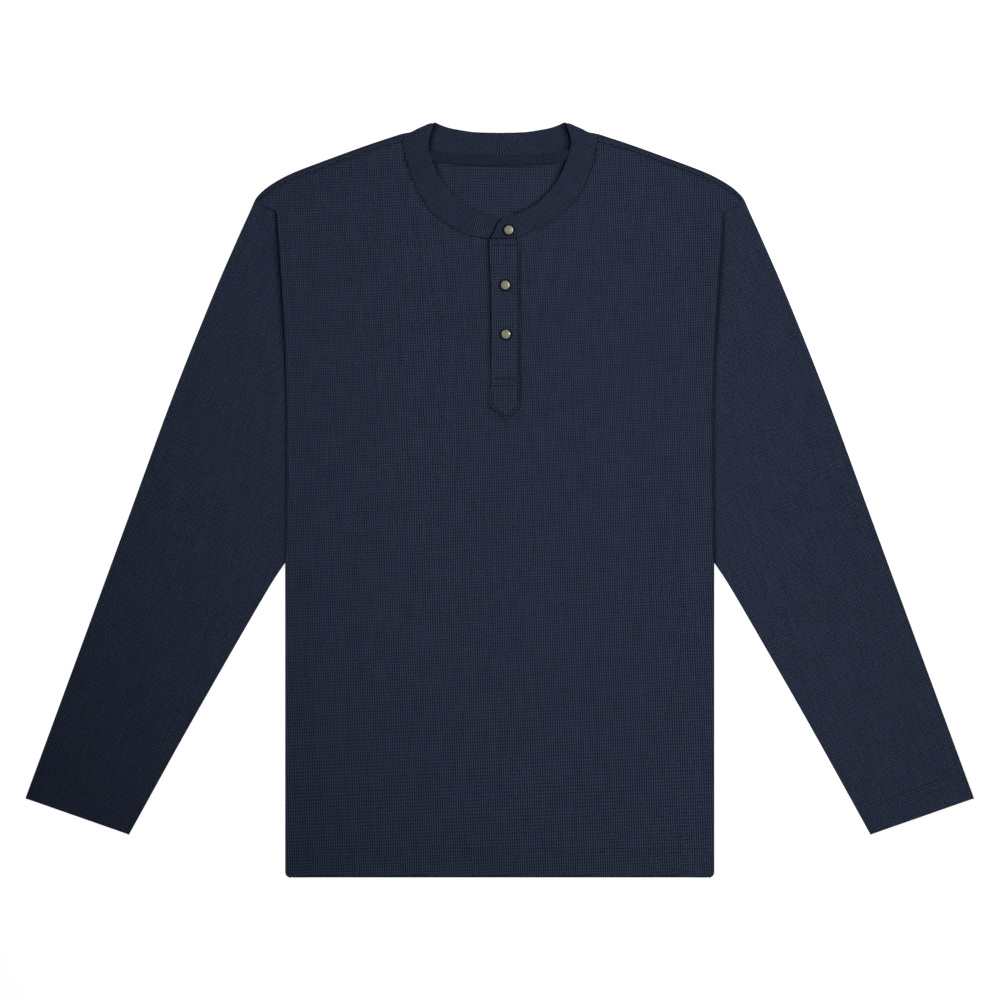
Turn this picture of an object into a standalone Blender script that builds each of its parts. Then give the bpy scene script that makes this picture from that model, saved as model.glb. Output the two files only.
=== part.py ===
"""Long-sleeved thermal henley top in waffle knit, laid flat on its back.

Seen from above, +X is the wearer's left, +Y points from the hem to the neck and
+Z points up. The underside lies on z = 0 and the origin is at the middle of it.
Every piece of cloth is modelled as its outer face, then given its wall inwards.
"""
import math
from collections import namedtuple

import bmesh
import bpy
import numpy as np

MM = 0.001

# ---------------------------------------------------------------- cloth
WALL = 1.2 * MM             # waffle knit
BAND_WALL = 2.0 * MM        # rib of the collar, folded double
PLACKET_WALL = 1.8 * MM     # upper placket, folded double
TAPE_WALL = 1.0 * MM        # tape over the back neck seam
GAP = 0.3 * MM              # clearance between two pieces
SHOULDER_GAP = 0.4 * MM     # between outer faces at the shoulder seam, where the walls lean in

# ---------------------------------------------------------------- heights of outer faces
PANEL_TOP = 2 * WALL + GAP              # front panel where it lies on the back
EDGE_TOP = PANEL_TOP + WALL + GAP       # front edge where it lies over a sleeve
SLEEVE_FOLD_TOP = 3.2 * MM              # long folds of a sleeve, at the cuff
SLEEVE_FOLD_REACH = 12 * MM             # how far in from a fold the sleeve is flat again
BODY_PUFF = 1.0 * MM                    # air between front and back, below the placket
SIDE_PUFF = 0.9 * MM                    # roll of the front next to the side seam
SLEEVE_PUFF = 0.9 * MM                  # air inside a sleeve, at its middle
PUFF_REACH = 28 * MM                    # how far in a raised edge fades out
ROLL_WIDTH = 3 * MM                     # over this the side of the front rolls up
LAP_DROP = 40 * MM                      # below the underarm the lapped edge comes down
LAP_MARGIN = 24 * MM                    # over this length, starting this far down

# ---------------------------------------------------------------- body
HALF_WIDTH = 210.2 * MM
HEM_Y = -369.2 * MM
HEM_CORNER = 5.0 * MM
CUFF_CORNER = 3.5 * MM
SEAM_DEPTH = 5.0 * MM       # from the shoulder's fold down the front to the shoulder seam
UNDERARM_Y = -57.5 * MM
CENTRE_ROW_STEP = 48 * MM

# ---------------------------------------------------------------- placket
NOTCH_LEFT = -5.5 * MM      # the front is cut away under the placket
NOTCH_RIGHT = 16.5 * MM
NOTCH_FOOT = 112.0 * MM
PLACKET_HEAD = 255.3 * MM

# ---------------------------------------------------------------- snap buttons
SNAP_SIDES = 24
SNAP_CAP_TOP = 2.35 * MM

# ---------------------------------------------------------------- number of rows
CURVE_STEPS = 16            # between two points of a table
FINE_CURVE = 120            # points of an outline before its stations are picked
NECK_FRONT_ROWS = 13
NECK_BACK_ROWS = 9
NOTCH_ROWS = 4
FOLD_STEPS = 6
SLEEVE_RINGS = 15
COLLAR_COLUMNS = 5
BEND = 3                    # how late the rows of a panel take up its last curve

Spot = namedtuple("Spot", "place x y")
ShoulderSpot = namedtuple("ShoulderSpot", "place x y seam_x seam_y")
BandRow = namedtuple("BandRow", "place x y seam_top edge_top")
BandEnd = namedtuple("BandEnd", "seam edge")
PlacketRow = namedtuple("PlacketRow", "place y left right")
Snap = namedtuple("Snap", "name x y")

# Tables are in millimetres, on the +X side unless they say otherwise.

# The folded shoulder, and the seam 5 mm down the front that joins front and back.
SHOULDER = (
    ShoulderSpot("neck", 95.6, 358.9, 95.9, 351.2),
    ShoulderSpot("near neck", 124.0, 349.6, 122.0, 344.3),
    ShoulderSpot("inner third", 151.0, 340.0, 149.0, 334.7),
    ShoulderSpot("middle", 173.5, 331.7, 171.5, 326.6),
    ShoulderSpot("outer third", 196.5, 323.0, 194.4, 317.8),
    ShoulderSpot("bend", 211.5, 316.2, 208.7, 311.8),
    ShoulderSpot("drop", 226.0, 307.5, 223.0, 303.6),
    ShoulderSpot("near tip", 235.2, 299.6, 232.2, 297.3),
    ShoulderSpot("tip", 239.8, 293.9, 237.2, 292.4),
)

# Where a sleeve meets the body: round the shoulder tip, then down under the front's fold.
ARMHOLE = (
    Spot("shoulder tip", 240.2, 293.2),
    Spot("below tip", 226.8, 286.1),
    Spot("under the fold", 218.5, 281.8),
    Spot("chest", 215.4, 270.0),
    Spot("chest low", 212.6, 215.0),
    Spot("side high", 209.8, 150.0),
    Spot("side", 208.0, 60.0),
    Spot("underarm", 207.7, -57.5),
)

# Outer edge of the front above the notch's foot: a fold that lies over the sleeve.
FRONT_FOLD = (
    Spot("side", 211.6, 112.0),
    Spot("side high", 212.3, 150.0),
    Spot("chest low", 214.9, 215.0),
    Spot("chest", 217.6, 268.0),
    Spot("top of fold", 218.7, 281.0),
    Spot("turn", 221.2, 285.6),
    Spot("below tip", 226.8, 287.1),
    Spot("shoulder tip", 236.9, 291.8),
)

SLEEVE_OUTER = (
    Spot("shoulder tip", 240.2, 293.2),
    Spot("head", 245.2, 281.0),
    Spot("upper arm high", 257.7, 252.6),
    Spot("upper arm", 282.2, 195.8),
    Spot("arm", 321.2, 98.0),
    Spot("elbow", 364.6, -19.8),
    Spot("forearm", 407.7, -137.4),
    Spot("cuff", 464.6, -292.3),
)

SLEEVE_INNER = (
    Spot("underarm", 207.7, -57.5),
    Spot("below underarm", 213.2, -64.6),
    Spot("upper arm", 234.2, -98.2),
    Spot("elbow", 301.8, -215.8),
    Spot("cuff", 363.7, -327.4),
)

# Seam between the front neckline and the collar, wearer's left, from the centre outwards.
NECK_SEAM_LEFT = (
    Spot("notch", 16.5, 256.7),
    Spot("placket seam", 21.5, 258.2),
    Spot("front", 31.0, 263.2),
    Spot("front low", 47.0, 271.0),
    Spot("quarter", 66.0, 285.3),
    Spot("side low", 77.0, 298.3),
    Spot("side", 85.3, 312.7),
    Spot("side high", 91.2, 328.5),
    Spot("neck", 94.6, 344.0),
    Spot("shoulder", 95.3, 351.0),
)

# The same seam on the wearer's right, x counted towards -X.
NECK_SEAM_RIGHT = (
    Spot("notch", 5.5, 255.8),
    Spot("placket", 12.7, 255.5),
    Spot("front", 21.2, 256.8),
    Spot("front low", 35.2, 260.8),
    Spot("quarter", 49.5, 268.4),
    Spot("side low", 65.5, 279.9),
    Spot("side", 77.0, 296.2),
    Spot("side high", 84.8, 312.7),
    Spot("neck low", 91.2, 330.0),
    Spot("neck", 94.6, 344.0),
    Spot("shoulder", 95.3, 351.0),
)

BACK_NECK_SEAM = (
    Spot("shoulder", 94.2, 353.6),
    Spot("side", 82.0, 344.3),
    Spot("quarter", 64.0, 337.2),
    Spot("near centre", 35.0, 333.8),
    Spot("centre", 0.0, 333.0),
)

# Free edge of the collar's front half, with the heights of both edges of the band.
COLLAR_LEFT = (
    BandRow("notch", 13.0, 279.6, 5.0, 5.4),
    BandRow("front", 21.5, 282.8, 3.6, 4.6),
    BandRow("quarter", 34.0, 289.6, 3.5, 4.3),
    BandRow("side low", 46.5, 301.4, 3.5, 4.3),
    BandRow("side", 56.0, 313.5, 3.6, 4.6),
    BandRow("side high", 62.5, 326.5, 3.9, 5.4),
    BandRow("neck", 67.4, 341.0, 4.8, 6.0),
    BandRow("shoulder", 69.2, 353.0, 5.0, 6.0),
    BandRow("peak", 64.9, 366.4, 5.0, 6.0),
)
COLLAR_RIGHT = (
    BandRow("notch", 4.0, 277.0, 3.5, 3.5),
    BandRow("front", 16.0, 279.6, 3.5, 4.0),
) + COLLAR_LEFT[2:]

# Ends of the collar: the wearer's left end lies over the right one. Real x.
COLLAR_END_OVER = BandEnd(
    seam=(Spot("end", -10.9, 256.0), Spot("middle", 1.0, 256.1), Spot("notch", 16.5, 256.7)),
    edge=(Spot("end", 2.6, 276.9), Spot("middle", 7.0, 278.3), Spot("notch", 13.0, 279.6)),
)
COLLAR_END_UNDER = BandEnd(
    seam=(Spot("end", 9.5, 256.4), Spot("middle", 2.0, 256.1), Spot("notch", -5.5, 255.8)),
    edge=(Spot("end", 9.0, 276.2), Spot("middle", 3.0, 276.5), Spot("notch", -4.0, 277.0)),
)
COLLAR_END_TOP = 5.8 * MM
COLLAR_END_ROWS = 3

# Free edge of the collar's back half.
COLLAR_BACK_EDGE = (
    Spot("peak", 64.9, 366.4),
    Spot("near peak", 57.5, 366.6),
    Spot("side", 47.0, 363.9),
    Spot("quarter", 24.0, 360.0),
    Spot("centre", 0.0, 359.4),
)
COLLAR_PEAK_AXIS = (Spot("seam end", 93.4, 354.1), Spot("edge end", 64.9, 366.4))
COLLAR_PEAK_OUT = (0.385, 0.923)        # way the folded peak faces, seen from above

TAPE_HALF_WIDTH = 5.0 * MM
TAPE_HALF_LENGTH = 69.0 * MM
TAPE_ROWS = 17

PLACKET = (
    PlacketRow("head", 255.3, -10.7, 19.7),
    PlacketRow("below head", 248.0, -9.7, 19.7),
    PlacketRow("upper snap", 210.0, -8.0, 19.7),
    PlacketRow("lower snap", 162.0, -7.3, 19.7),
    PlacketRow("stitched bar", 119.0, -7.2, 19.7),
    PlacketRow("tail top", 106.0, -9.2, 19.7),
    PlacketRow("tail side", 93.5, -9.5, 19.7),
    PlacketRow("tail shoulder", 91.0, -8.8, 19.0),
    PlacketRow("tail slope", 85.5, -1.4, 13.4),
    PlacketRow("tail near point", 81.2, 3.6, 9.2),
    PlacketRow("tail point", 79.9, 5.4, 7.6),
)

SNAPS = (
    Snap("snap_1", 9.0, 264.4),
    Snap("snap_2", 5.6, 210.5),
    Snap("snap_3", 6.1, 162.4),
)

# Half section of a snap in millimetres, from the middle of its foot to the middle of its cap.
SNAP_SECTION = (
    (4.70, 0.00),
    (5.45, 0.25),
    (5.65, 0.80),
    (5.40, 1.45),
    (4.95, 1.70),
    (4.50, 1.60),
    (3.60, 1.95),
    (1.90, 2.25),
)


# ---------------------------------------------------------------- curves
def plan(table):
    """The x and y columns of a table, in metres."""
    return np.array([(row.x, row.y) for row in table]) * MM


def smooth(points, count):
    """A smooth curve through the points, as count points evenly spaced along it."""
    points = np.asarray(points, float)
    padded = np.vstack((2 * points[0] - points[1], points, 2 * points[-1] - points[-2]))
    fine = []
    for k in range(1, len(padded) - 2):
        before, start, end, after = padded[k - 1:k + 3]
        for t in np.linspace(0, 1, CURVE_STEPS, endpoint=False):
            fine.append(0.5 * (2 * start + (end - before) * t
                               + (2 * before - 5 * start + 4 * end - after) * t ** 2
                               + (3 * start - before - 3 * end + after) * t ** 3))
    fine.append(points[-1])
    fine = np.array(fine)
    steps = np.linalg.norm(np.diff(fine[:, :2], axis=0), axis=1)
    along = np.concatenate(([0], np.cumsum(steps)))
    wanted = np.linspace(0, along[-1], count)
    return np.stack([np.interp(wanted, along, column) for column in fine.T], axis=1)


def length(points):
    return float(np.linalg.norm(np.diff(points[:, :2], axis=0), axis=1).sum())


def at(points, distance):
    """Point of a polyline at a distance from its start."""
    steps = np.linalg.norm(np.diff(points[:, :2], axis=0), axis=1)
    along = np.concatenate(([0], np.cumsum(steps)))
    return np.array([np.interp(distance, along, column) for column in points.T])


def shifted(points, distance):
    """A parallel line, to the left of the way the points run."""
    points = np.asarray(points, float)
    runs = np.gradient(points, axis=0)
    runs /= np.linalg.norm(runs, axis=1)[:, None]
    return points + distance * np.stack((-runs[:, 1], runs[:, 0]), axis=1)


def ease(value):
    """0 to 1 with a soft start and a soft end."""
    value = min(max(value, 0.0), 1.0)
    return value * value * (3 - 2 * value)


def stations(total, near_start, near_end, even):
    """Distances along a row, close together at both ends and even between them."""
    start = list(near_start)
    end = [total - distance for distance in reversed(near_end)]
    return start + list(np.linspace(start[-1], end[0], even + 2)[1:-1]) + end


def rounded_inset(distance, radius):
    """How far an edge draws in at this distance from a rounded corner's end."""
    if distance >= radius:
        return 0.0
    return radius - math.sqrt(radius ** 2 - (radius - distance) ** 2)


# ---------------------------------------------------------------- heights
FOLD_LINE = np.vstack(((HALF_WIDTH, HEM_Y), (HALF_WIDTH, UNDERARM_Y), plan(FRONT_FOLD)))
SHOULDER_LINE = plan(SHOULDER)


def distance_to(line, point):
    """Shortest distance from a point to a polyline."""
    starts, ends = line[:-1], line[1:]
    runs = ends - starts
    t = ((point - starts) * runs).sum(axis=1) / (runs ** 2).sum(axis=1)
    nearest = starts + np.clip(t, 0, 1)[:, None] * runs
    return float(np.linalg.norm(nearest - point, axis=1).min())


def front_height(x, y):
    """Height of the front panel's outer face: flat on the back, raised at its edges."""
    point = np.array((abs(x), y))
    side = distance_to(FOLD_LINE, point)
    shoulder = distance_to(SHOULDER_LINE, point)
    over_sleeve = ease((y - UNDERARM_Y + LAP_MARGIN) / LAP_DROP + 1)
    fade = 1 - ease(side / PUFF_REACH)
    roll = SIDE_PUFF * min(side / ROLL_WIDTH, 1.0)
    lap = EDGE_TOP - PANEL_TOP
    side_lift = fade * ((1 - over_sleeve) * roll + over_sleeve * lap)
    shoulder_lift = lap * (1 - ease((shoulder - SEAM_DEPTH) / PUFF_REACH))
    tail = PLACKET[-1].y * MM
    down = min(max((tail - y) / (tail - HEM_Y), 0), 1)
    puff = BODY_PUFF * math.sin(math.pi * down) ** 2 * (1 - (x / HALF_WIDTH) ** 2)
    return PANEL_TOP + max(side_lift, shoulder_lift) + puff


# ---------------------------------------------------------------- meshes
def material(name, colour, roughness, metallic=0.0):
    made = bpy.data.materials.new(name)
    made.use_nodes = True
    shader = made.node_tree.nodes["Principled BSDF"]
    shader.inputs["Base Color"].default_value = (*colour, 1.0)
    shader.inputs["Roughness"].default_value = roughness
    shader.inputs["Metallic"].default_value = metallic
    return made


def add_object(name, mesh_builder, finish):
    mesh = bpy.data.meshes.new(name)
    mesh_builder.to_mesh(mesh)
    mesh_builder.free()
    mesh.materials.append(finish)
    mesh.shade_smooth()
    mesh.set_sharp_from_angle(angle=math.radians(40))
    made = bpy.data.objects.new(name, mesh)
    bpy.context.collection.objects.link(made)
    return made


def cloth(name, grids, wall, finish):
    """One wall from grids of outer points; grids share the points that they have in common."""
    builder = bmesh.new()
    for grid in grids:
        rows = [[builder.verts.new(point) for point in row] for row in grid]
        for lower, upper in zip(rows, rows[1:]):
            for k in range(len(lower) - 1):
                builder.faces.new((lower[k], lower[k + 1], upper[k + 1], upper[k]))
    bmesh.ops.remove_doubles(builder, verts=builder.verts, dist=0.01 * MM)
    made = add_object(name, builder, finish)
    solidify = made.modifiers.new("wall", "SOLIDIFY")
    solidify.thickness = wall
    solidify.offset = -1
    solidify.use_even_offset = True
    return made


def mirrored(grid):
    """The grid on the other side, its columns turned round so that it still faces out."""
    turned = np.array(grid)[:, ::-1].copy()
    turned[:, :, 0] *= -1
    return turned


def bent_rows(inner, outer, last, bent_from):
    """Rows from an inner edge to an outer edge, which take up the last curve little by little."""
    chord_start, chord_end = last[0], last[-1]
    last_length = length(last)
    rows = []
    for k, (start, end) in enumerate(zip(inner, outer)):
        share = max(0.0, (k - bent_from) / (len(inner) - 1 - bent_from)) ** BEND
        run = np.linalg.norm(end - start)
        row = []
        for distance in panel_columns(run):
            u = distance / run
            straight = start + u * (end - start)
            bulge = at(last, u * last_length) - (chord_start + u * (chord_end - chord_start))
            row.append(straight + share * bulge)
        rows.append(row)
    return np.array(rows)


# ---------------------------------------------------------------- outlines that pieces share
PANEL_NEAR_SIDE = [distance * MM for distance in (0, 1.5, 5, 12, 26)]
PANEL_EVEN = 7
ARMHOLE_NEAR_TIP = [distance * MM for distance in (0, 2.1, 6, 15, 24.5, 36)]
ARMHOLE_NEAR_UNDERARM = [distance * MM for distance in (0, 1.35, 5, 12)]
ARMHOLE_EVEN = 6
SHOULDER_FOLD_RADIUS = EDGE_TOP / 2


def armhole_line():
    fine = smooth(plan(ARMHOLE), FINE_CURVE)
    total = length(fine)
    spots = stations(total, ARMHOLE_NEAR_TIP, ARMHOLE_NEAR_UNDERARM, ARMHOLE_EVEN)
    return np.array([at(fine, distance) for distance in spots])


def panel_columns(run):
    """Where the points of a panel's row lie, from its inner edge to its side."""
    return stations(run, [0], PANEL_NEAR_SIDE, PANEL_EVEN)


def shoulder_row(depth):
    """Line at a depth in from the shoulder's fold, on the way to the shoulder seam."""
    outer = smooth(plan(SHOULDER), FINE_CURVE)
    seam = smooth([(row.seam_x * MM, row.seam_y * MM) for row in SHOULDER], FINE_CURVE)
    ways = seam - outer
    spans = np.linalg.norm(ways, axis=1)[:, None]
    return outer + ways * np.minimum(depth / spans, 1)


def hem_rows():
    """Heights of the lowest rows, close together round the rounded corners."""
    return [HEM_Y, HEM_Y + 0.3 * HEM_CORNER, HEM_Y + HEM_CORNER]


def side_x(y):
    return HALF_WIDTH - rounded_inset(y - HEM_Y, HEM_CORNER)


def even_heights(low, high):
    count = max(1, round((high - low) / CENTRE_ROW_STEP))
    return list(np.linspace(low, high, count + 1)[1:])


# ---------------------------------------------------------------- pieces
def make_back(finish):
    """Back panel: flat on the ground, rolled forward over both shoulders to the seam."""
    armhole = shifted(armhole_line()[::-1], GAP)
    below = hem_rows() + even_heights(HEM_Y + HEM_CORNER, UNDERARM_Y - 9 * MM)
    outer = [(side_x(y), y) for y in below] + list(armhole)
    neck = shifted(smooth(plan(BACK_NECK_SEAM), NECK_BACK_ROWS), GAP / 2)[::-1]
    neck[0][0] = 0.0
    last = shoulder_row(SHOULDER_FOLD_RADIUS)
    climb = len(outer) - len(below) - len(neck)
    centre = np.linspace(below[-1], neck[0][1], climb + 1)[1:]
    inner = [(0.0, y) for y in below] + [(0.0, y) for y in centre[:-1]] + list(neck) + [last[0]]
    outer[-1] = last[-1]
    flat = bent_rows(np.array(inner), np.array(outer), last, len(below) + climb - 2)
    floor = np.zeros(flat.shape[:2] + (1,))
    sheet = np.concatenate((flat, floor), axis=2)
    fractions = [distance / length(last) for distance in panel_columns(length(last))]
    roll = []
    for step in range(1, FOLD_STEPS + 1):
        turn = math.pi * step / FOLD_STEPS
        depth = SHOULDER_FOLD_RADIUS * (1 - math.sin(turn))
        roll.append((depth, SHOULDER_FOLD_RADIUS * (1 - math.cos(turn))))
    rows = []
    for depth, height in roll:
        line = shoulder_row(depth)
        rows.append([(*at(line, share * length(line)), height) for share in fractions])
    seam = shifted(shoulder_row(math.inf), SHOULDER_GAP / 2)
    rows.append([(*at(seam, share * length(seam)), EDGE_TOP) for share in fractions])
    half = np.concatenate((sheet, np.array(rows)))
    return cloth("back", (half[:, ::-1], mirrored(half[:, ::-1])), WALL, finish)


def front_half(seam_table, notch):
    """Outer points of one half of the front, from the hem to the shoulder seam."""
    neck = shifted(smooth(plan(seam_table), NECK_FRONT_ROWS), -GAP / 2)
    neck[0][0] = notch
    below = hem_rows() + even_heights(HEM_Y + HEM_CORNER, NOTCH_FOOT)
    inner = [(notch, y) for y in below]
    inner += [(notch, y) for y in np.linspace(NOTCH_FOOT, neck[0][1], NOTCH_ROWS + 1)[1:-1]]
    inner += list(neck)
    outer = [(side_x(y), y) for y in below[:-1]]
    outer += list(smooth(plan(FRONT_FOLD), len(inner) - len(outer)))
    last = shifted(shoulder_row(math.inf), -SHOULDER_GAP / 2)
    inner[-1] = last[0]
    outer[-1] = last[-1]
    return bent_rows(np.array(inner), np.array(outer), last, len(below) + NOTCH_ROWS)


def raised(rows, side):
    return np.array([[(side * x, y, front_height(x, y)) for x, y in row] for row in rows])


def make_front(finish):
    """Front panel with the neck scooped out and a notch for the placket."""
    left = raised(front_half(NECK_SEAM_LEFT, NOTCH_RIGHT), 1)
    right = raised(front_half(NECK_SEAM_RIGHT, -NOTCH_LEFT), -1)[:, ::-1]
    heights = [row[0][1] for row in left if row[0][1] <= NOTCH_FOOT + MM]
    strip = []
    for y in heights:
        strip.append([(x, y, front_height(x, y)) for x in (NOTCH_LEFT, NOTCH_RIGHT)])
    return cloth("front", (left, right, np.array(strip)), WALL, finish)


def sleeve_section(run, share):
    """Closed section of a flattened sleeve: pairs of distance across and height."""
    fold_out = SLEEVE_FOLD_TOP / 2 + (EDGE_TOP - SLEEVE_FOLD_TOP) / 2 * ease(share)
    fold_in = SLEEVE_FOLD_TOP / 2 + (PANEL_TOP - SLEEVE_FOLD_TOP) / 2 * ease(share)
    across = stations(run, ARMHOLE_NEAR_TIP, ARMHOLE_NEAR_UNDERARM, ARMHOLE_EVEN)[1:-1]
    across[0], across[-1] = fold_out, run - fold_in
    top = []
    for distance in across:
        u = distance / run
        lift_out = (2 * fold_out - PANEL_TOP) * (1 - ease((distance - fold_out) / SLEEVE_FOLD_REACH))
        lift_in = (2 * fold_in - PANEL_TOP) * (1 - ease((run - fold_in - distance) / SLEEVE_FOLD_REACH))
        puff = SLEEVE_PUFF * math.sin(math.pi * share) ** 2 * 4 * u * (1 - u)
        top.append((distance, PANEL_TOP + lift_out + lift_in + puff))
    turns = [math.pi * step / FOLD_STEPS for step in range(1, FOLD_STEPS)]
    inner_fold = [(run - fold_in + fold_in * math.sin(t), fold_in * (1 + math.cos(t))) for t in turns]
    outer_fold = [(fold_out - fold_out * math.sin(t), fold_out * (1 - math.cos(t))) for t in turns]
    bottom = [(distance, 0.0) for distance in reversed(across)]
    return top + inner_fold + bottom + outer_fold


def make_sleeve(name, side, finish):
    """Sleeve: a flattened tube, open at the cuff and at the armhole."""
    fine = smooth(plan(ARMHOLE), FINE_CURVE)
    outer = smooth(plan(SLEEVE_OUTER)[::-1], SLEEVE_RINGS)
    inner = smooth(plan(SLEEVE_INNER)[::-1], SLEEVE_RINGS)
    pairs = []
    for along in (0.0, 0.3 * CUFF_CORNER, CUFF_CORNER):
        inset = rounded_inset(along, CUFF_CORNER)
        start, end = at(outer, along), at(inner, along)
        across = (end - start) / np.linalg.norm(end - start)
        pairs.append((start + inset * across, end - inset * across, 0.0))
    for k in range(1, SLEEVE_RINGS):
        pairs.append((outer[k], inner[k], k / (SLEEVE_RINGS - 1)))
    total = length(fine)
    rings = []
    for start, end, share in pairs:
        run = np.linalg.norm(end - start)
        if share == 1.0:
            run = total
        ring = []
        for distance, height in sleeve_section(run, share):
            u = distance / run
            bulge = at(fine, u * total) - (fine[0] + u * (fine[-1] - fine[0]))
            x, y = start + u * (end - start) + share ** BEND * bulge
            ring.append((side * x, y, height))
        ring.append(ring[0])
        rings.append(ring[::-1] if side > 0 else ring)
    return cloth(name, (np.array(rings),), WALL, finish)


def band_front(seam_table, rows_table, side):
    """Front half of the collar on one side, from the notch to the peak: (seam, edge) pairs."""
    seam = shifted(smooth(plan(seam_table), NECK_FRONT_ROWS), GAP / 2)
    columns = [(row.x, row.y, row.seam_top, row.edge_top) for row in rows_table]
    edge = smooth(np.array(columns) * MM, NECK_FRONT_ROWS)
    seam[-1] = plan(COLLAR_PEAK_AXIS)[0]
    pairs = []
    for low, (x, y, seam_top, edge_top) in zip(seam, edge):
        pairs.append(((side * low[0], low[1], seam_top), (side * x, y, edge_top)))
    return pairs


def band_end(curves, top):
    """End of the collar beyond the notch, from its tip towards the notch."""
    lines = [smooth(plan(spots), COLLAR_END_ROWS + 1) for spots in curves]
    pairs = []
    for k in range(COLLAR_END_ROWS):
        pairs.append(tuple((line[k][0], line[k][1], top) for line in lines))
    return pairs


def band_peak(side, seam_top, edge_top):
    """The fold at a collar peak, from the upper layer round to the lower one."""
    axis = plan(COLLAR_PEAK_AXIS)
    out = np.array(COLLAR_PEAK_OUT)
    pairs = []
    for step in range(1, FOLD_STEPS):
        turn = math.pi * step / FOLD_STEPS
        ends = []
        for spot, top in zip(axis, (seam_top, edge_top)):
            radius = top / 2
            x, y = spot + radius * math.sin(turn) * out
            ends.append((side * x, y, radius * (1 + math.cos(turn))))
        pairs.append(tuple(ends))
    return pairs


def band_back():
    """Back half of the collar, inner face up, from the +X peak to the -X peak."""
    seam = shifted(smooth(plan(BACK_NECK_SEAM), NECK_BACK_ROWS), -GAP / 2)
    seam[0] = plan(COLLAR_PEAK_AXIS)[0]
    edge = smooth(plan(COLLAR_BACK_EDGE), NECK_BACK_ROWS)
    half = [((*low, 0.0), (*high, 0.0)) for low, high in zip(seam, edge)]
    other = [((-a, b, c), (-d, e, f)) for (a, b, c), (d, e, f) in reversed(half[:-1])]
    return half + other


def make_collar(finish):
    """Rib collar: one doubled band round the neck, folded over at both peaks."""
    peak = COLLAR_LEFT[-1]
    tops = (peak.seam_top * MM, peak.edge_top * MM)
    over = band_end(COLLAR_END_OVER, COLLAR_END_TOP) + band_front(NECK_SEAM_LEFT, COLLAR_LEFT, 1)
    under_top = COLLAR_RIGHT[0].seam_top * MM
    under = band_end(COLLAR_END_UNDER, under_top) + band_front(NECK_SEAM_RIGHT, COLLAR_RIGHT, -1)
    pairs = over + band_peak(1, *tops) + band_back()
    pairs += band_peak(-1, *tops)[::-1] + under[::-1]
    grid = []
    for seam, edge in pairs:
        seam, edge = np.array(seam), np.array(edge)
        grid.append([seam + (edge - seam) * u for u in np.linspace(0, 1, COLLAR_COLUMNS)])
    return cloth("collar", (np.array(grid)[:, ::-1],), BAND_WALL, finish)


def make_tape(finish):
    """Tape over the seam of the back neck, half on the collar and half on the back."""
    fine = smooth(plan(BACK_NECK_SEAM)[::-1], FINE_CURVE)
    half = [spot for spot in fine if spot[0] <= TAPE_HALF_LENGTH]
    line = smooth(np.array([(-x, y) for x, y in half[:0:-1]] + half), TAPE_ROWS)
    on_collar = BAND_WALL + GAP + TAPE_WALL
    on_back = WALL + GAP + TAPE_WALL
    across = (
        (TAPE_HALF_WIDTH, on_collar),
        (0.0, on_collar),
        (-0.6 * TAPE_HALF_WIDTH, on_back),
        (-TAPE_HALF_WIDTH, on_back),
    )
    columns = []
    for offset, height in across:
        columns.append([(x, y, height) for x, y in shifted(line, offset)])
    return cloth("neck_tape", (np.array(columns)[::-1],), TAPE_WALL, finish)


def make_placket_upper(finish):
    """Upper placket with its pointed tail, over the notch and the front beside it."""
    top = PANEL_TOP + GAP + PLACKET_WALL
    grid = []
    for row in reversed(PLACKET):
        xs = np.linspace(row.left, row.right, 4) * MM
        grid.append([(x, row.y * MM, top) for x in xs])
    return cloth("placket_upper", (np.array(grid),), PLACKET_WALL, finish)


def make_placket_under(finish):
    """Button stand, in the notch of the front and under the upper placket."""
    ys = np.linspace(NOTCH_FOOT + GAP, PLACKET_HEAD, 4)
    xs = np.linspace(NOTCH_LEFT + GAP, NOTCH_RIGHT - GAP, 3)
    grid = [[(x, y, PANEL_TOP) for x in xs] for y in ys]
    return cloth("placket_under", (np.array(grid),), WALL, finish)


def make_snap(snap, seat, finish):
    """Ring snap: a turned rim round a low domed cap."""
    builder = bmesh.new()
    rings = []
    for radius, height in SNAP_SECTION:
        ring = []
        for k in range(SNAP_SIDES):
            turn = 2 * math.pi * k / SNAP_SIDES
            place = np.array((radius * math.cos(turn), radius * math.sin(turn), height)) * MM
            ring.append(builder.verts.new(place))
        rings.append(ring)
    for lower, upper in zip(rings, rings[1:]):
        for k in range(SNAP_SIDES):
            n = (k + 1) % SNAP_SIDES
            builder.faces.new((lower[k], lower[n], upper[n], upper[k]))
    builder.faces.new(rings[0][::-1])
    crown = builder.verts.new((0, 0, SNAP_CAP_TOP))
    for k in range(SNAP_SIDES):
        builder.faces.new((rings[-1][k], rings[-1][(k + 1) % SNAP_SIDES], crown))
    made = add_object(snap.name, builder, finish)
    made.location = (snap.x * MM, snap.y * MM, seat + GAP)
    return made


def main():
    for item in list(bpy.data.objects):
        bpy.data.objects.remove(item, do_unlink=True)
    body_knit = material("navy_waffle_knit", (0.019, 0.025, 0.044), 0.92)
    rib_knit = material("navy_rib", (0.016, 0.022, 0.037), 0.9)
    tape_knit = material("navy_neck_tape", (0.015, 0.021, 0.035), 0.85)
    snap_shell = material("pearl_snap", (0.21, 0.22, 0.16), 0.35)
    make_back(body_knit)
    make_front(body_knit)
    make_sleeve("sleeve_left", 1, body_knit)
    make_sleeve("sleeve_right", -1, body_knit)
    make_collar(rib_knit)
    make_tape(tape_knit)
    make_placket_under(body_knit)
    make_placket_upper(body_knit)
    placket_top = PANEL_TOP + GAP + PLACKET_WALL
    for snap, seat in zip(SNAPS, (COLLAR_END_TOP, placket_top, placket_top)):
        make_snap(snap, seat, snap_shell)


main()
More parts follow.
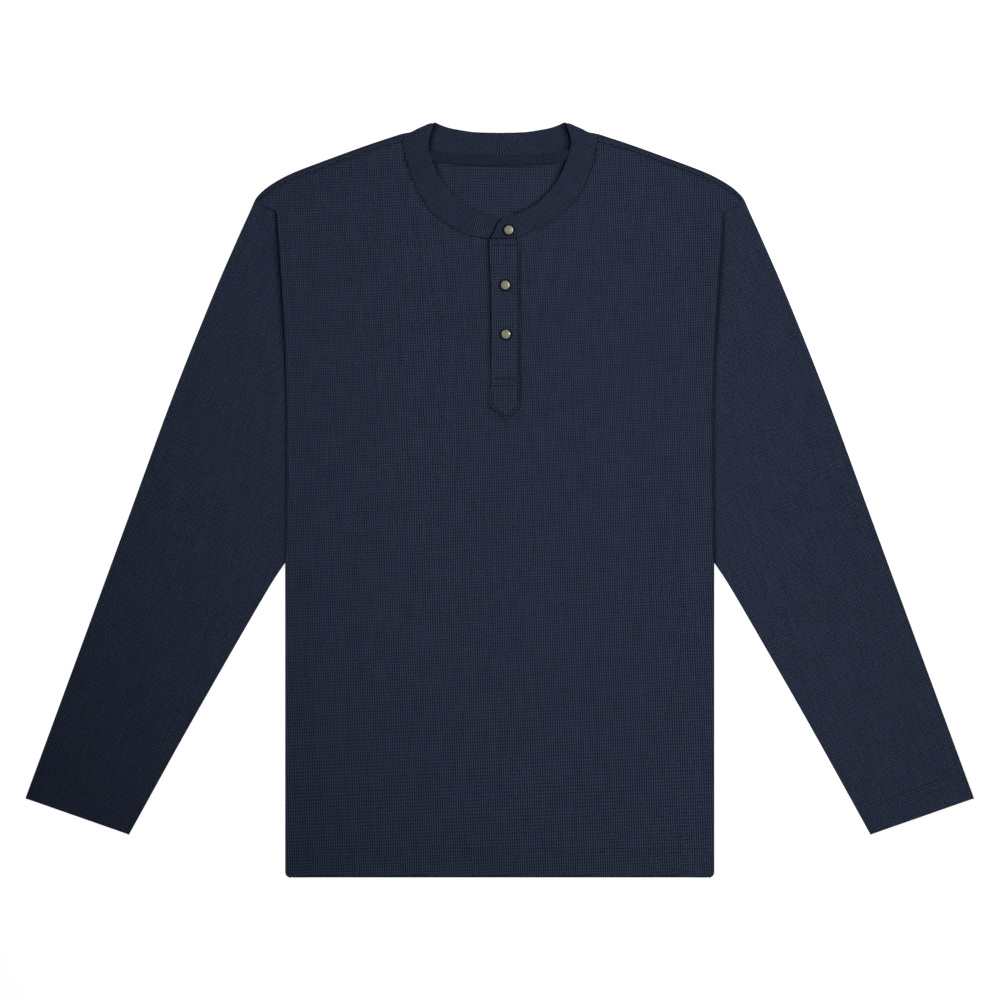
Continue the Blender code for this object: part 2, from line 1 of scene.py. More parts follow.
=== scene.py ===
"""Looks of a long-sleeved thermal henley top in waffle knit, laid flat on its back.

Seen from above, +X is the wearer's left and +Y points from the hem to the neck. Each piece of
cloth is a wall with an outer face, an inner face and round edges. The waffle is modelled: every
cell has a pit in its middle and a ridge all round it.
"""
import math

import bmesh
import bpy
import numpy as np
from mathutils import Matrix, Vector, geometry


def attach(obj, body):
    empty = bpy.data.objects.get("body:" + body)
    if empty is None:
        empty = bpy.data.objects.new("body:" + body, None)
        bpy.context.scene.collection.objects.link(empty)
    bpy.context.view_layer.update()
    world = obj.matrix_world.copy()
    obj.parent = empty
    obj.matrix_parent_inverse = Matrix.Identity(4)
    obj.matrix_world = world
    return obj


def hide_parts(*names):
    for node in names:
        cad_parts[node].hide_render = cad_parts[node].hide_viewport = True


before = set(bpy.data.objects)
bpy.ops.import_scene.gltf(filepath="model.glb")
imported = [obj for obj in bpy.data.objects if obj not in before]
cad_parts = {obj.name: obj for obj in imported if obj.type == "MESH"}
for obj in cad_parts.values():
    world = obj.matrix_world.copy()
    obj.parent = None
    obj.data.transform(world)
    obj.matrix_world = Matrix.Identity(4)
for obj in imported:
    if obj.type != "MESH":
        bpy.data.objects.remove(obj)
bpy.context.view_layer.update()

MM = 0.001

# ---- cloth
WALE = 2.25 * MM            # one cell of the waffle, across the grain
COURSE = 2.9 * MM           # one cell, along the grain
PIT = 0.42 * MM             # depth of a cell
WALL = 1.1 * MM
BAND_WALL = 2.0 * MM        # rib of the collar, folded double
PLACKET_WALL = 1.8 * MM
TAPE_WALL = 0.9 * MM
GAP = 0.3 * MM
STEP = 2.8 * MM             # between points along an edge
FOLD_STEPS = 6              # round a long fold
SHOULDER_STEPS = 8
EDGE_MARGIN = 0.7 * MM      # plain cloth between the last cells and an edge
CURVE_STEPS = 16            # between two points of a table
CURVE_POINTS = 120
BODY_LEAN = 2.0             # degrees that the grain of the front leans to the wearer's right
BACK_LEAN = -0.8
CHEST_Y, CHEST_REACH, CHEST_SLACK = 90 * MM, 170 * MM, 6.3 * MM     # where the front's grain is slack
HEM_SLACK = 9.6 * MM
FAN_X, FAN_Y, FAN_REACH = 230 * MM, 200 * MM, 120 * MM              # where a sleeve's courses fan

# ---- heights
BACK_WALL = 1.2 * MM
PANEL_TOP = 2 * BACK_WALL + GAP
EDGE_TOP = PANEL_TOP + BACK_WALL + GAP
SLEEVE_FOLD_TOP = 3.2 * MM
SLEEVE_FOLD_REACH = 12 * MM
FOLD_WIDTH = 1.5 * MM       # how far a long fold stands out past the flat cloth
SIDE_FOLD = 2.7 * MM        # height of the front's side fold
BODY_PUFF = 1.0 * MM
SLEEVE_PUFF = 0.9 * MM
PUFF_REACH = 22 * MM
FLAP = 6 * MM               # turned under along the front's side fold
LAP_DROP = 40 * MM          # along the side, from lying over a sleeve to lying on the back
LAP_MARGIN = 24 * MM        # how far below the underarm that begins
HEM_DEPTH = 26 * MM         # turned up at the hem and the cuffs
HEM_RISE = 0.35 * MM
COLLAR_END_TOP = 5.8 * MM
PLACKET_TOP = PANEL_TOP + GAP + PLACKET_WALL
FOLD_HEAD = 279 * MM        # from here the side fold runs up to the shoulder
FOLD_HEAD_REACH = 9 * MM
FRONT_RIPPLE, BACK_RIPPLE, SLEEVE_RIPPLE, UNDER_RIPPLE = 0.22 * MM, 0.12 * MM, 0.2 * MM, 0.25 * MM
UNDER_RISE = 0.5 * MM       # most that creases lift the back off the ground
SLEEVE_UNDER_RISE = 0.4 * MM
# Creases and ripples fade in over these distances from a seam, fold or edge.
NARROW_CALM, SHORT_CALM, CALM, WIDE_CALM, LONG_CALM = 15 * MM, 20 * MM, 25 * MM, 30 * MM, 40 * MM

# ---- body
HALF_WIDTH = 210.0 * MM
HEM_Y = -369.2 * MM
HEM_CORNER = 5.0 * MM
SEAM_DEPTH = 5.0 * MM       # from the shoulder's outline in to its seam
UNDERARM_Y = -57.5 * MM
NOTCH_LEFT = -5.5 * MM
NOTCH_RIGHT = 16.5 * MM
NOTCH_FOOT = 112.0 * MM
PLACKET_HEAD = 255.3 * MM
BACK_NECK_Y = 330 * MM
PLACKET_MIDDLE = 5 * MM     # the front has no creases under the placket,
PLACKET_HALF = 14 * MM      # this far to both sides of its middle
PLACKET_END = 70 * MM       # and down to here
SHOULDER_RADIUS = EDGE_TOP / 2
SEAM_LAP = 0.2 * MM         # front and back meet this far to both sides of the shoulder seam

# Rows of x and y in millimetres, on the +X side unless they say otherwise. Shoulder lines run
# out from the neck, side and sleeve lines down from or up to the shoulder's tip.
SHOULDER = (
    (95.6, 358.9), (124, 349.6), (151, 340), (173.5, 331.7), (196.5, 323), (211.5, 316.2), (226, 307.5),
    (235.2, 299.6), (239.8, 293.9),
)
SHOULDER_SEAM = (
    (95.9, 351.2), (122, 344.3), (149, 334.7), (171.5, 326.6), (194.4, 317.8), (208.7, 311.8),
    (223, 303.6), (232.2, 297.3), (237.2, 292.4),
)
ARMHOLE = (
    (239.4, 294.4), (226.8, 286.1), (218.5, 281.8), (215.4, 270), (212.6, 215), (208, 150), (205.8, 60),
    (205.5, -55.6),
)
SIDE_FOLD_LINE = (
    (210, -57.5), (209.3, -30), (208.8, 30), (208.9, 90), (210.4, 150), (214.2, 215), (217.9, 268),
    (218.7, 281),
)
ARMHOLE_SEAM_LINE = ((218.7, 281), (221.4, 284.5), (226.8, 286), (237.2, 291.2))
SLEEVE_OUTER = (
    (239.4, 294.4), (245.2, 281), (258, 252.7), (282.5, 195.9), (321.4, 98.1), (364.6, -19.8),
    (407.7, -137.4), (464.4, -291.8),
)
SLEEVE_INNER = ((205.5, -55.6), (212.6, -65), (233.6, -98.5), (301.2, -216.1), (362.9, -327.3))
# From the notch to the shoulder; the wearer's right side counts x towards -X.
NECK_SEAM_LEFT = (
    (16.5, 256.7), (21.5, 258.2), (31, 263.2), (47, 271), (66, 285.3), (77, 298.3), (85.3, 312.7),
    (91.2, 328.5), (94.6, 344), (95.7, 351),
)
NECK_SEAM_RIGHT = (
    (5.5, 255.8), (12.7, 255.5), (21.2, 256.8), (35.2, 260.8), (49.5, 268.4), (65.5, 279.9),
    (77, 296.2), (84.8, 312.7), (91.2, 330), (94.6, 344), (95.7, 351),
)
BACK_NECK_SEAM = ((94.2, 353.6), (82, 344.3), (64, 337.2), (35, 333.8), (0, 333))
# The collar's free edge: x, y and the heights of the band at its seam and at its edge.
COLLAR_LEFT = (
    (13, 279.6, 5, 5.4), (21.5, 282.8, 3.6, 4.6), (34, 289.6, 3.5, 4.3), (46.5, 301.4, 3.5, 4.3),
    (56, 313.5, 3.6, 4.6), (62.5, 326.5, 3.9, 5.4), (67.4, 341, 4.8, 6), (69.2, 353, 5, 6),
    (64.9, 366.4, 5, 6),
)
COLLAR_RIGHT = (
    (4, 277, 3.5, 3.5), (16, 279.6, 3.5, 4), (34, 289.6, 3.5, 4.3), (46.9, 301.4, 3.5, 4.3),
    (57, 313.5, 3.6, 4.6), (64, 326.5, 3.9, 5.4), (68.8, 341, 4.8, 6), *COLLAR_LEFT[7:],
)
# Seam and free edge of each end of the collar, past the notch.
COLLAR_END_OVER = (
    ((-10.7, 256), (1, 256.1), (16.5, 256.7)),
    ((2.6, 276.4), (7, 278.2), (13, 279.6)),
)
COLLAR_END_UNDER = (
    ((9.5, 256.4), (2, 256.1), (-5.5, 255.8)),
    ((9, 276.2), (3, 276.5), (-4, 277)),
)
COLLAR_END_OVER_LINE = (
    (-10.2, 256.2), (-7.5, 260.1), (-5, 263), (-3.7, 267.2), (-1.2, 271.7), (2.6, 275.9),
)
COLLAR_BACK_EDGE = (
    (64.9, 366.4), (64.4, 369.3), (61.8, 369.7), (57.8, 367.9), (51.5, 365.6), (43.5, 363.7),
    (24, 360.9), (0, 360.3),
)
COLLAR_PEAK_AXIS = ((95.3, 356.6), (64.9, 366.4))
COLLAR_PEAK_OUT = (0.385, 0.923)
TAPE_HALF_WIDTH = 5.0 * MM
TAPE_HALF_LENGTH = 69.0 * MM
# The upper placket from its head to the point of its tail: y, left x and right x.
PLACKET = (
    (255.3, -10.7, 19.7), (248, -10.2, 20.2), (210, -9, 20.2), (162, -8.3, 20.2), (119, -8.2, 20.2),
    (106, -9.7, 20.2), (93.5, -9.8, 20), (91, -8.8, 19), (85.5, -1.4, 13.4), (81.2, 3.6, 9.2),
    (79.9, 5.4, 7.6),
)
PLACKET_STITCHES = (
    ((17.7, 252.2), (18.1, 205), (18.1, 110), (17.6, 92.8), (11.8, 87.1), (7.6, 82.9), (6.4, 82.2),
     (5.1, 82.9), (0, 87.3), (-7.1, 92.8), (-7.1, 105)),
    ((-4.8, 119.4), (16.3, 119.4)),
    ((-4, 112.2), (12.4, 112.2)),
    ((-6.6, 249.6), (15.8, 249.6)),
)
SNAPS = (("snap_1", 9, 264.4), ("snap_2", 5.6, 210.5), ("snap_3", 6.1, 162.4))

# Soft creases: x and y of both ends, width and height. A height below 0 is a trough.
FRONT_CREASES = (
    (-205, 262, -150, 205, 9, 0.45), (-203, 205, -120, 175, 11, 0.35), (205, 258, 158, 196, 8, 0.4),
    (-150, 190, -138, -60, 13, -0.4), (-128, 40, -140, -240, 10, 0.35), (150, 120, 128, -130, 12, 0.35),
    (185, -60, 60, -110, 14, -0.35), (-70, -130, 40, -175, 16, 0.3), (90, -352, 112, -190, 9, 0.35),
    (-60, -350, -84, -230, 8, -0.35), (-200, -30, -120, 20, 12, 0.4), (202, -45, 130, -5, 10, 0.35),
    (6, 72, -4, -20, 9, 0.25),
)
SLEEVE_CREASES = (
    (248, 262, 262, 150, 8, 0.4), (232, 60, 286, 96, 9, 0.35), (262, -60, 338, -8, 9, 0.4),
    (290, -120, 372, -92, 11, -0.45), (322, -190, 396, -160, 9, 0.35), (290, 40, 352, -150, 12, -0.3),
    (372, -285, 420, -230, 8, 0.3),
)
BACK_CREASES = (
    (-150, 270, 130, 250, 15, 0.4), (-170, 150, -140, -40, 12, 0.45), (165, 60, 140, -180, 12, 0.45),
    (-120, -120, 90, -170, 14, 0.4), (-40, -345, -30, -240, 9, 0.35),
)

# ---- trims
RIB = 2.0 * MM              # from one rib of the collar to the next
RIB_POINTS = 6              # along the band for each rib
RIB_DEPTH = 0.45 * MM
RIB_COURSE = 1.1 * MM
BAND_COLUMNS = 9            # across the collar
PEAK_SAG, PEAK_RISE = -1.6 * MM, 0.9 * MM   # bends of the collar's fold, near its seam and its edge
JERSEY = 0.7 * MM           # from one wale of the tape to the next
TAPE_ROWS = 11              # of points, across the tape
TAPE_DENT = 0.18 * MM
TAPE_STITCH = 3.6 * MM      # from the middle of the tape to its stitches
SEAM_STITCH = 2.1 * MM
NECK_STITCH = 2.2 * MM
HEM_STITCHES = (24.5 * MM, 27.9 * MM)
GROOVE_HALF = 0.75 * MM     # half the width of the dent along a row of stitches
GROOVE_STEP = 2.0 * MM
HEM_GROOVE = 0.3 * MM
SEAM_GROOVE = 0.35 * MM
PLACKET_GROOVE = 0.5 * MM
STITCH_LENGTH = 2.8 * MM
STITCH_SHARE = 0.86         # of its length that a stitch shows
STITCH_SINK = 0.2 * MM
THREAD = 0.5 * MM
SNAP_SIDES = 64
SNAP_RADIUS = 5.8 * MM
SNAP_CAP_RADIUS = 4.45 * MM
SNAP_RIM_TOP = 1.75 * MM
SNAP_RIM_ROUND = 0.42 * MM
CAP_DEPTH = 0.6 * MM
CAP_FOOT = SNAP_RIM_TOP - 0.45 * MM
CAP_STEPS = ((0.25, 0.22), (0.4, 0.16), (0.7, 0.12), (1.2, 0.08))   # inset and rise, in millimetres

# ---- colours
# A pair of colours is the two ends of a mix.
# The pit colour is the cloth's dark end: in the waffle's cells and between the collar's ribs it is painted
# shade; the ridge colour is painted light on the waffle's ridges.
COLOUR_PIT = (0.0046, 0.0070, 0.0155)
COLOUR_RIDGE = (0.0348, 0.0463, 0.0820)
COLOUR_RIB = (0.0325, 0.0435, 0.0770)
# painted shade: the dark colour that the cloth turns towards where shadows fall beside folds, seams and edges
COLOUR_PAINTED_SHADE = (0.0030, 0.0038, 0.0068)
COLOUR_THREAD = (0.006, 0.0085, 0.017), (0.012, 0.017, 0.031)
COLOUR_PEARL = (0.115, 0.120, 0.082), (0.225, 0.235, 0.165)
COLOUR_GUNMETAL = (0.0006, 0.0007, 0.0008), (0.0022, 0.0025, 0.003)
COLOUR_FLOOR = (0.30, 0.30, 0.30), (0.32, 0.32, 0.32)
FINE_FUZZ = (2600.0, 2.0, 0.65)     # scale, detail and roughness of a noise

# ---- painted shade
# Painted shade beside a line: its darkness from 0 to 1, and the width over which it fades away.
SEAM_SHADE = 0.2, 0.9 * MM
ARMHOLE_SHADE = 0.25, 1.1 * MM
SIDE_SHADE = 0.3, 1.8 * MM
HEM_SHADE = 0.8, 1.1 * MM
TAPE_SHADE = 0.8, 1.6 * MM
COLLAR_END_SHADE = 0.9, 1.7 * MM
PLACKET_SHADE_WIDTH = 3.2 * MM
STITCH_SHADE_WIDTH = 0.45 * MM
FOLD_SHADE = 0.3            # painted shade on the folded edges themselves
UNDER_LAYER_TOP = 1.3 * MM  # the garment's lower layer of cloth lies below this

# ---- light
FRAME_WIDTH = 978.8 * MM
FRAME_CENTRE = (0.29 * MM, 0.245 * MM)
CAMERA_HEIGHT = 6.0
WORLD_LIGHT = 0.15
LIGHT_SIZE = 0.8
LIGHTS = (                  # name, place, target, power and spread in degrees
    ("key", (1.22, 0.55, 2.60), (0.07, 0.60, 0), 5.2, 42),
    ("fill", (-1.27, 0.45, 1.39), (0.62, -0.56, 0), 3.4, 38),
)
FLOOR_SIZE = 6.0
FLOOR_DROP = 0.3 * MM
FLOOR_GLOW = 0.9


# ---- curves
def plan(table):
    """The x and y of a table's rows, in metres."""
    return np.array(table, float)[:, :2] * MM


def along(points):
    """How far along a line each of its points lies, seen from above."""
    return np.concatenate(([0], np.cumsum(np.linalg.norm(np.diff(points[:, :2], axis=0), axis=1))))


def sampled(points, distance, wanted):
    """The line again, as points at the wanted distances along it."""
    return np.stack([np.interp(wanted, distance, column) for column in points.T], axis=1)


def even(points, count):
    distance = along(points)
    return sampled(points, distance, np.linspace(0, distance[-1], count))


def smooth(points, count=CURVE_POINTS):
    """A smooth curve through the points, as count points evenly spaced along it."""
    points = np.asarray(points, float)
    padded = np.vstack((2 * points[0] - points[1], points, 2 * points[-1] - points[-2]))
    fine = []
    for before, start, end, after in zip(padded, padded[1:], padded[2:], padded[3:]):
        for t in np.linspace(0, 1, CURVE_STEPS, endpoint=False):
            fine.append(0.5 * (2 * start + (end - before) * t
                               + (2 * before - 5 * start + 4 * end - after) * t ** 2
                               + (3 * start - before - 3 * end + after) * t ** 3))
    return even(np.array(fine + [points[-1]]), count)


def curve(table):
    """The smooth curve through the rows of a table."""
    return smooth(plan(table))


def spaced(points, step=STEP):
    points = np.asarray(points, float)
    return even(points, max(2, math.ceil(along(points)[-1] / step) + 1))


def unit(rows):
    return rows / np.maximum(np.linalg.norm(rows, axis=-1, keepdims=True), 1e-12)


def shifted(points, distance):
    """A parallel line, to the left of the way the points run."""
    runs = unit(np.gradient(np.asarray(points, float), axis=0))
    return points + distance * np.stack((-runs[:, 1], runs[:, 0]), axis=1)


def ease(value):
    """0 to 1 with a soft start and a soft end."""
    value = np.clip(value, 0.0, 1.0)
    return value * value * (3 - 2 * value)


def distance_to(line, x, y):
    """Shortest distance from each of many points to a line."""
    nearest = np.full(np.shape(x), np.inf)
    for (ax, ay), (bx, by) in zip(line[:-1], line[1:]):
        dx, dy = bx - ax, by - ay
        t = np.clip(((x - ax) * dx + (y - ay) * dy) / (dx * dx + dy * dy), 0, 1)
        nearest = np.minimum(nearest, np.hypot(x - ax - t * dx, y - ay - t * dy))
    return nearest


def mirrored(points):
    """The line on the other side, run the other way."""
    return np.asarray(points)[::-1] * (-1, 1)


def hem_corner():
    """The rounded corner at the foot of the +X side."""
    turns = np.radians(np.linspace(-90, 0, 5))
    centre = np.array((HALF_WIDTH - HEM_CORNER, HEM_Y + HEM_CORNER))
    return centre + HEM_CORNER * np.stack((np.cos(turns), np.sin(turns)), axis=1)


# ---- heights
FOLD_LINE = np.vstack(((HALF_WIDTH, HEM_Y), plan(SIDE_FOLD_LINE)))
OUTER_LINE, INNER_LINE = plan(SLEEVE_OUTER), plan(SLEEVE_INNER)
CUFF_LINE = np.array((OUTER_LINE[-1], INNER_LINE[-1]))
SLEEVE_LENGTH = np.linalg.norm(OUTER_LINE[0] - OUTER_LINE[-1])
SLEEVE_WAY = unit(OUTER_LINE[0] - OUTER_LINE[-1])
RIPPLES = np.random.default_rng(7).uniform(-1, 1, (24, 3))


def level(height):
    return lambda x, y: np.full(np.shape(x), height)


def ripple(x, y, first, size):
    """Uneven lie of pressed cloth: a few crossing waves 30 to 110 mm long."""
    total = 0
    for k in range(6):
        across, lengthwise, phase = RIPPLES[(first + k) % len(RIPPLES)]
        span = 0.03 + 0.016 * k
        total = total + np.sin((x * across + y * lengthwise * 0.6) * 2 * math.pi / span + 9 * phase)
    return size * total / 6


def crease_height(x, y, creases):
    """Height of slightly bowed creases that fade out at both ends."""
    total = 0
    for x1, y1, x2, y2, width, height in creases:
        start, end = np.array((x1, y1)) * MM, np.array((x2, y2)) * MM
        reach = np.linalg.norm(end - start)
        way = (end - start) / reach
        lengthwise = (x - start[0]) * way[0] + (y - start[1]) * way[1]
        across = (x - start[0]) * way[1] - (y - start[1]) * way[0]
        bow = 0.05 * reach * np.sin(math.pi * np.clip(lengthwise / reach, 0, 1))
        fade = ease(lengthwise / (0.35 * reach) + 0.3) * ease((reach - lengthwise) / (0.35 * reach) + 0.3)
        total = total + height * MM * fade * np.exp(-((across - bow) / (width * MM)) ** 2)
    return total


def hem_rise(up):
    """The doubled cloth of a turned hem, by the height above its edge."""
    return HEM_RISE * (1 - ease((up - HEM_DEPTH) / (2 * MM) + 1))


def over_sleeve(y):
    """0 where the front lies on the back, 1 where its side lies over a sleeve."""
    return ease((y - UNDERARM_Y + LAP_MARGIN) / LAP_DROP + 1)


def fold_foot(y):
    """What the front's side fold rests on."""
    return BACK_WALL + GAP + over_sleeve(y) * (BACK_WALL + GAP)


def front_top(x, y):
    """Outer face of the front."""
    side = distance_to(FOLD_LINE, np.abs(x), y)
    shoulder = distance_to(plan(SHOULDER), np.abs(x), y)
    fold_top = fold_foot(y) + SIDE_FOLD
    fold_top = fold_top + (EDGE_TOP - fold_top) * ease((y - FOLD_HEAD) / FOLD_HEAD_REACH)
    side_lift = (fold_top - PANEL_TOP) * (1 - ease((side - FLAP - FOLD_WIDTH) / PUFF_REACH))
    shoulder_lift = (EDGE_TOP - PANEL_TOP) * (1 - ease((shoulder - SEAM_DEPTH) / PUFF_REACH))
    tail = PLACKET[-1][0] * MM
    down = np.clip((tail - y) / (tail - HEM_Y), 0, 1)
    puff = BODY_PUFF * np.sin(math.pi * down) ** 2 * (1 - (x / HALF_WIDTH) ** 2)
    placket_side = np.maximum(np.abs(x - PLACKET_MIDDLE) - PLACKET_HALF, PLACKET_END - y)
    neck = distance_to(plan(NECK_SEAM_LEFT), np.abs(x), y)
    calm = ease(side / SHORT_CALM) * ease((y - HEM_Y) / WIDE_CALM) * ease((shoulder - 6 * MM) / SHORT_CALM)
    calm = calm * ease(placket_side / NARROW_CALM) * ease(neck / SHORT_CALM)
    lie = crease_height(x, y, FRONT_CREASES) + ripple(x, y, 0, FRONT_RIPPLE)
    return PANEL_TOP + np.maximum(side_lift, shoulder_lift) + puff + calm * lie + hem_rise(y - HEM_Y)


def back_under(x, y):
    """Outer face of the back: on the ground, apart from shallow creases."""
    side = np.minimum(HALF_WIDTH - np.abs(x), y - HEM_Y)
    shoulder = distance_to(plan(SHOULDER), np.abs(x), y)
    calm = ease(side / CALM) * ease((shoulder - 3 * MM) / CALM) * ease((BACK_NECK_Y - y) / LONG_CALM)
    lie = crease_height(x, y, BACK_CREASES) + ripple(x, y, 12, BACK_RIPPLE)
    return calm * np.clip(lie, 0, UNDER_RISE)


def sleeve_top(x, y):
    """Outer face of a sleeve's upper layer, on either side."""
    side, x_left = np.sign(x + 1e-9), np.abs(x)
    outer, inner = distance_to(OUTER_LINE, x_left, y), distance_to(INNER_LINE, x_left, y)
    up = (x_left - CUFF_LINE[0][0]) * SLEEVE_WAY[0] + (y - CUFF_LINE[0][1]) * SLEEVE_WAY[1]
    share = ease(up / SLEEVE_LENGTH)
    lift = 0
    for away, head in ((outer, EDGE_TOP), (inner, PANEL_TOP)):
        fold = SLEEVE_FOLD_TOP + (head - SLEEVE_FOLD_TOP) * share
        lift = lift + (fold - PANEL_TOP) * (1 - ease((away - FOLD_WIDTH) / SLEEVE_FOLD_REACH))
    under_fold = distance_to(FOLD_LINE, x_left, y)
    puff = SLEEVE_PUFF * np.sin(math.pi * np.clip(up / SLEEVE_LENGTH, 0, 1)) ** 2
    puff = puff * 4 * outer * inner / (outer + inner) ** 2 * ease((under_fold - 7 * MM) / (35 * MM))
    calm = ease(outer / NARROW_CALM) * ease(inner / NARROW_CALM) * ease((under_fold - 4 * MM) / SHORT_CALM)
    calm = calm * ease((up - HEM_DEPTH) / SHORT_CALM)
    lie = crease_height(x_left, y, SLEEVE_CREASES) + ripple(x + side * 0.3, y, 5, SLEEVE_RIPPLE)
    return PANEL_TOP + lift + puff + calm * np.maximum(lie, -0.5 * puff) + hem_rise(up)


def sleeve_under(x, y):
    """Outer face of a sleeve's lower layer."""
    calm = 1
    for line, reach in ((OUTER_LINE, CALM), (INNER_LINE, CALM), (CUFF_LINE, WIDE_CALM)):
        calm = calm * ease(distance_to(line, np.abs(x), y) / reach)
    return calm * np.clip(ripple(x, y, 9, UNDER_RIPPLE), 0, SLEEVE_UNDER_RISE)


def placket_top(x, y):
    """Outer face of the upper placket."""
    return PLACKET_TOP + 0.12 * MM * (np.sin(x * 90 + 1.3) * np.sin(y * 70) - 1)


# ---- painted shade
def beside(line, x, y, strength, width):
    """Painted shade of a strength on a line, fading away over a width on both of its sides."""
    return strength * np.exp(-(distance_to(line, x, y) / width) ** 2)


def deepest(*shades):
    return np.maximum.reduce(shades)


def sleeve_shade(x, y, z):
    """Painted shade on the sleeve close under the front's fold."""
    down = FOLD_LINE[-1][1] - y
    width = (1.8 + 2.6 * ease(down / (35 * MM)) - 2.6 * ease((down - 50 * MM) / (160 * MM))) * MM
    dark = 0.7 - 0.48 * ease((down - 90 * MM) / (120 * MM))
    seam = beside(plan(ARMHOLE_SEAM_LINE), np.abs(x), y, *ARMHOLE_SHADE)
    return deepest(beside(FOLD_LINE, np.abs(x), y, dark, width), seam) * (z > UNDER_LAYER_TOP)


def front_shade(x, y, z):
    """Painted shade on the front beside the placket, the shoulder seams, the side folds and the hem."""
    left, right = (np.array([(row[k], row[0]) for row in PLACKET]) * MM for k in (1, 2))
    strong = 0.65 - 0.35 * ease((160 * MM - y) / (50 * MM))
    return deepest(beside(left, x, y, strong, PLACKET_SHADE_WIDTH),
                   beside(right, x, y, *SEAM_SHADE),
                   beside(curve(SHOULDER_SEAM), np.abs(x), y, *SEAM_SHADE),
                   beside(FOLD_LINE, np.abs(x), y, *SIDE_SHADE) * over_sleeve(y),
                   HEM_SHADE[0] * np.exp(-((y - HEM_Y) / HEM_SHADE[1]) ** 2))


def placket_shade(x, y, z):
    """Painted shade along the upper placket's rows of stitches, in their grooves."""
    dark = deepest(*(beside(plan(line), x, y, 1.0, STITCH_SHADE_WIDTH) for line in PLACKET_STITCHES))
    calm = 0.9 - 0.2 * ease((108 * MM - y) / (12 * MM))
    return calm * dark * (z > PLACKET_TOP - 0.9 * MM)


def inside_shade(x, y, z):
    """Painted shade inside the neck, close under the collar's edge, deepest at the wearer's left."""
    high = ease((y - 304 * MM) / (24 * MM))
    left = beside(curve(COLLAR_LEFT), x, y, 0.95, (1.8 + 3.2 * high) * MM)
    right = curve(COLLAR_RIGHT) * (-1, 1)
    right = beside(right, x, y, 0.45 + 0.5 * high, (1.1 + 2.7 * high) * MM)
    tape = shifted(curve(BACK_NECK_SEAM), TAPE_HALF_WIDTH)
    tape = beside(tape, np.abs(x), y, *TAPE_SHADE) * (z < UNDER_LAYER_TOP)
    return deepest(left, right, tape) * (z > 0.8 * MM) * (z < 3.3 * MM)


def collar_shade(x, y, z):
    """Painted shade as inside the neck, and on the collar's under end beside the over end."""
    end = beside(plan(COLLAR_END_OVER_LINE), x, y, *COLLAR_END_SHADE) * (z < COLLAR_END_TOP - 1 * MM)
    return deepest(inside_shade(x, y, z), end)


def no_shade(x, y, z):
    return np.zeros(len(x))


# ---- grain
def no_pull(x, y):
    return np.zeros((len(x), 2))


def front_pull(x, y):
    """How far the front's cloth is pulled off an even grain: slack by the chest and the hem."""
    chest = np.exp(-((y - CHEST_Y) / CHEST_REACH) ** 2)
    slack = CHEST_SLACK * np.tanh((x + 78 * MM) / (45 * MM))
    hem = HEM_SLACK * np.tanh((y + 285 * MM) / (60 * MM))
    return np.column_stack(((0.045 * x - slack) * chest, 0.05 * np.maximum(y - 50 * MM, 0) - hem))


def sleeve_pull(x, y):
    """The sleeve's courses fan a little near its top."""
    top = np.exp(-((y - FAN_Y) / FAN_REACH) ** 2)
    return np.column_stack((0.02 * (y - FAN_Y) * top, 0.035 * (x - FAN_X) * top))


# ---- a wall of cloth
def grid_inside(loop, xs, ys):
    """Which nodes of a grid lie inside a closed loop."""
    ahead = np.roll(loop, -1, axis=0)
    mask = np.zeros((len(ys), len(xs)), bool)
    for row, y in enumerate(ys):
        cut = (loop[:, 1] > y) != (ahead[:, 1] > y)
        a, b = loop[cut], ahead[cut]
        crossings = np.sort(a[:, 0] + (y - a[:, 1]) * (b[:, 0] - a[:, 0]) / (b[:, 1] - a[:, 1]))
        mask[row] = np.searchsorted(crossings, xs) % 2 == 1
    return mask


def grid_cell(places, xs, ys):
    """Column and row of the grid's cell that each place lies in."""
    return (np.floor((values - steps[0]) / (steps[1] - steps[0])).astype(int)
            for values, steps in zip(places.T, (xs, ys)))


def grid_near(loop, xs, ys, margin, closed=True):
    """Which nodes of a grid lie closer to the loop than the margin."""
    ahead = np.roll(loop, -1, axis=0) if closed else np.vstack((loop[1:], loop[-1:]))
    shares = np.linspace(0, 1, 6, endpoint=False)[None, :, None]
    samples = (loop[:, None] + (ahead - loop)[:, None] * shares).reshape(-1, 2)
    column, row = grid_cell(samples, xs, ys)
    mask = np.zeros((len(ys), len(xs)), bool)
    for right in (-1, 0, 1, 2):
        for up in (-1, 0, 1, 2):
            i, j = column + right, row + up
            real = (i >= 0) & (i < len(xs)) & (j >= 0) & (j < len(ys))
            i, j, spot = i[real], j[real], samples[real]
            close = np.hypot(xs[i] - spot[:, 0], ys[j] - spot[:, 1]) < margin
            mask[j[close], i[close]] = True
    return mask


def inset(loop, distances):
    """The closed loop, run anticlockwise, moved in by a distance of its own on each stretch."""
    runs = unit(np.roll(loop, -1, axis=0) - loop)
    inward = np.stack((-runs[:, 1], runs[:, 0]), axis=1)
    before = np.roll(inward, 1, axis=0)
    near, far = np.roll(distances, 1), distances
    turn = before[:, 0] * inward[:, 1] - before[:, 1] * inward[:, 0]
    sharp = np.abs(turn) > 0.5
    safe = np.where(sharp, turn, 1.0)
    corner = np.stack(((near * inward[:, 1] - far * before[:, 1]) / safe,
                       (far * before[:, 0] - near * inward[:, 0]) / safe), axis=1)
    soft = unit(before + inward) * ((near + far) / 2)[:, None]
    return loop + np.where(sharp[:, None], corner, soft)


def triangles(a, b, c):
    return np.stack((a, b, c), axis=1)


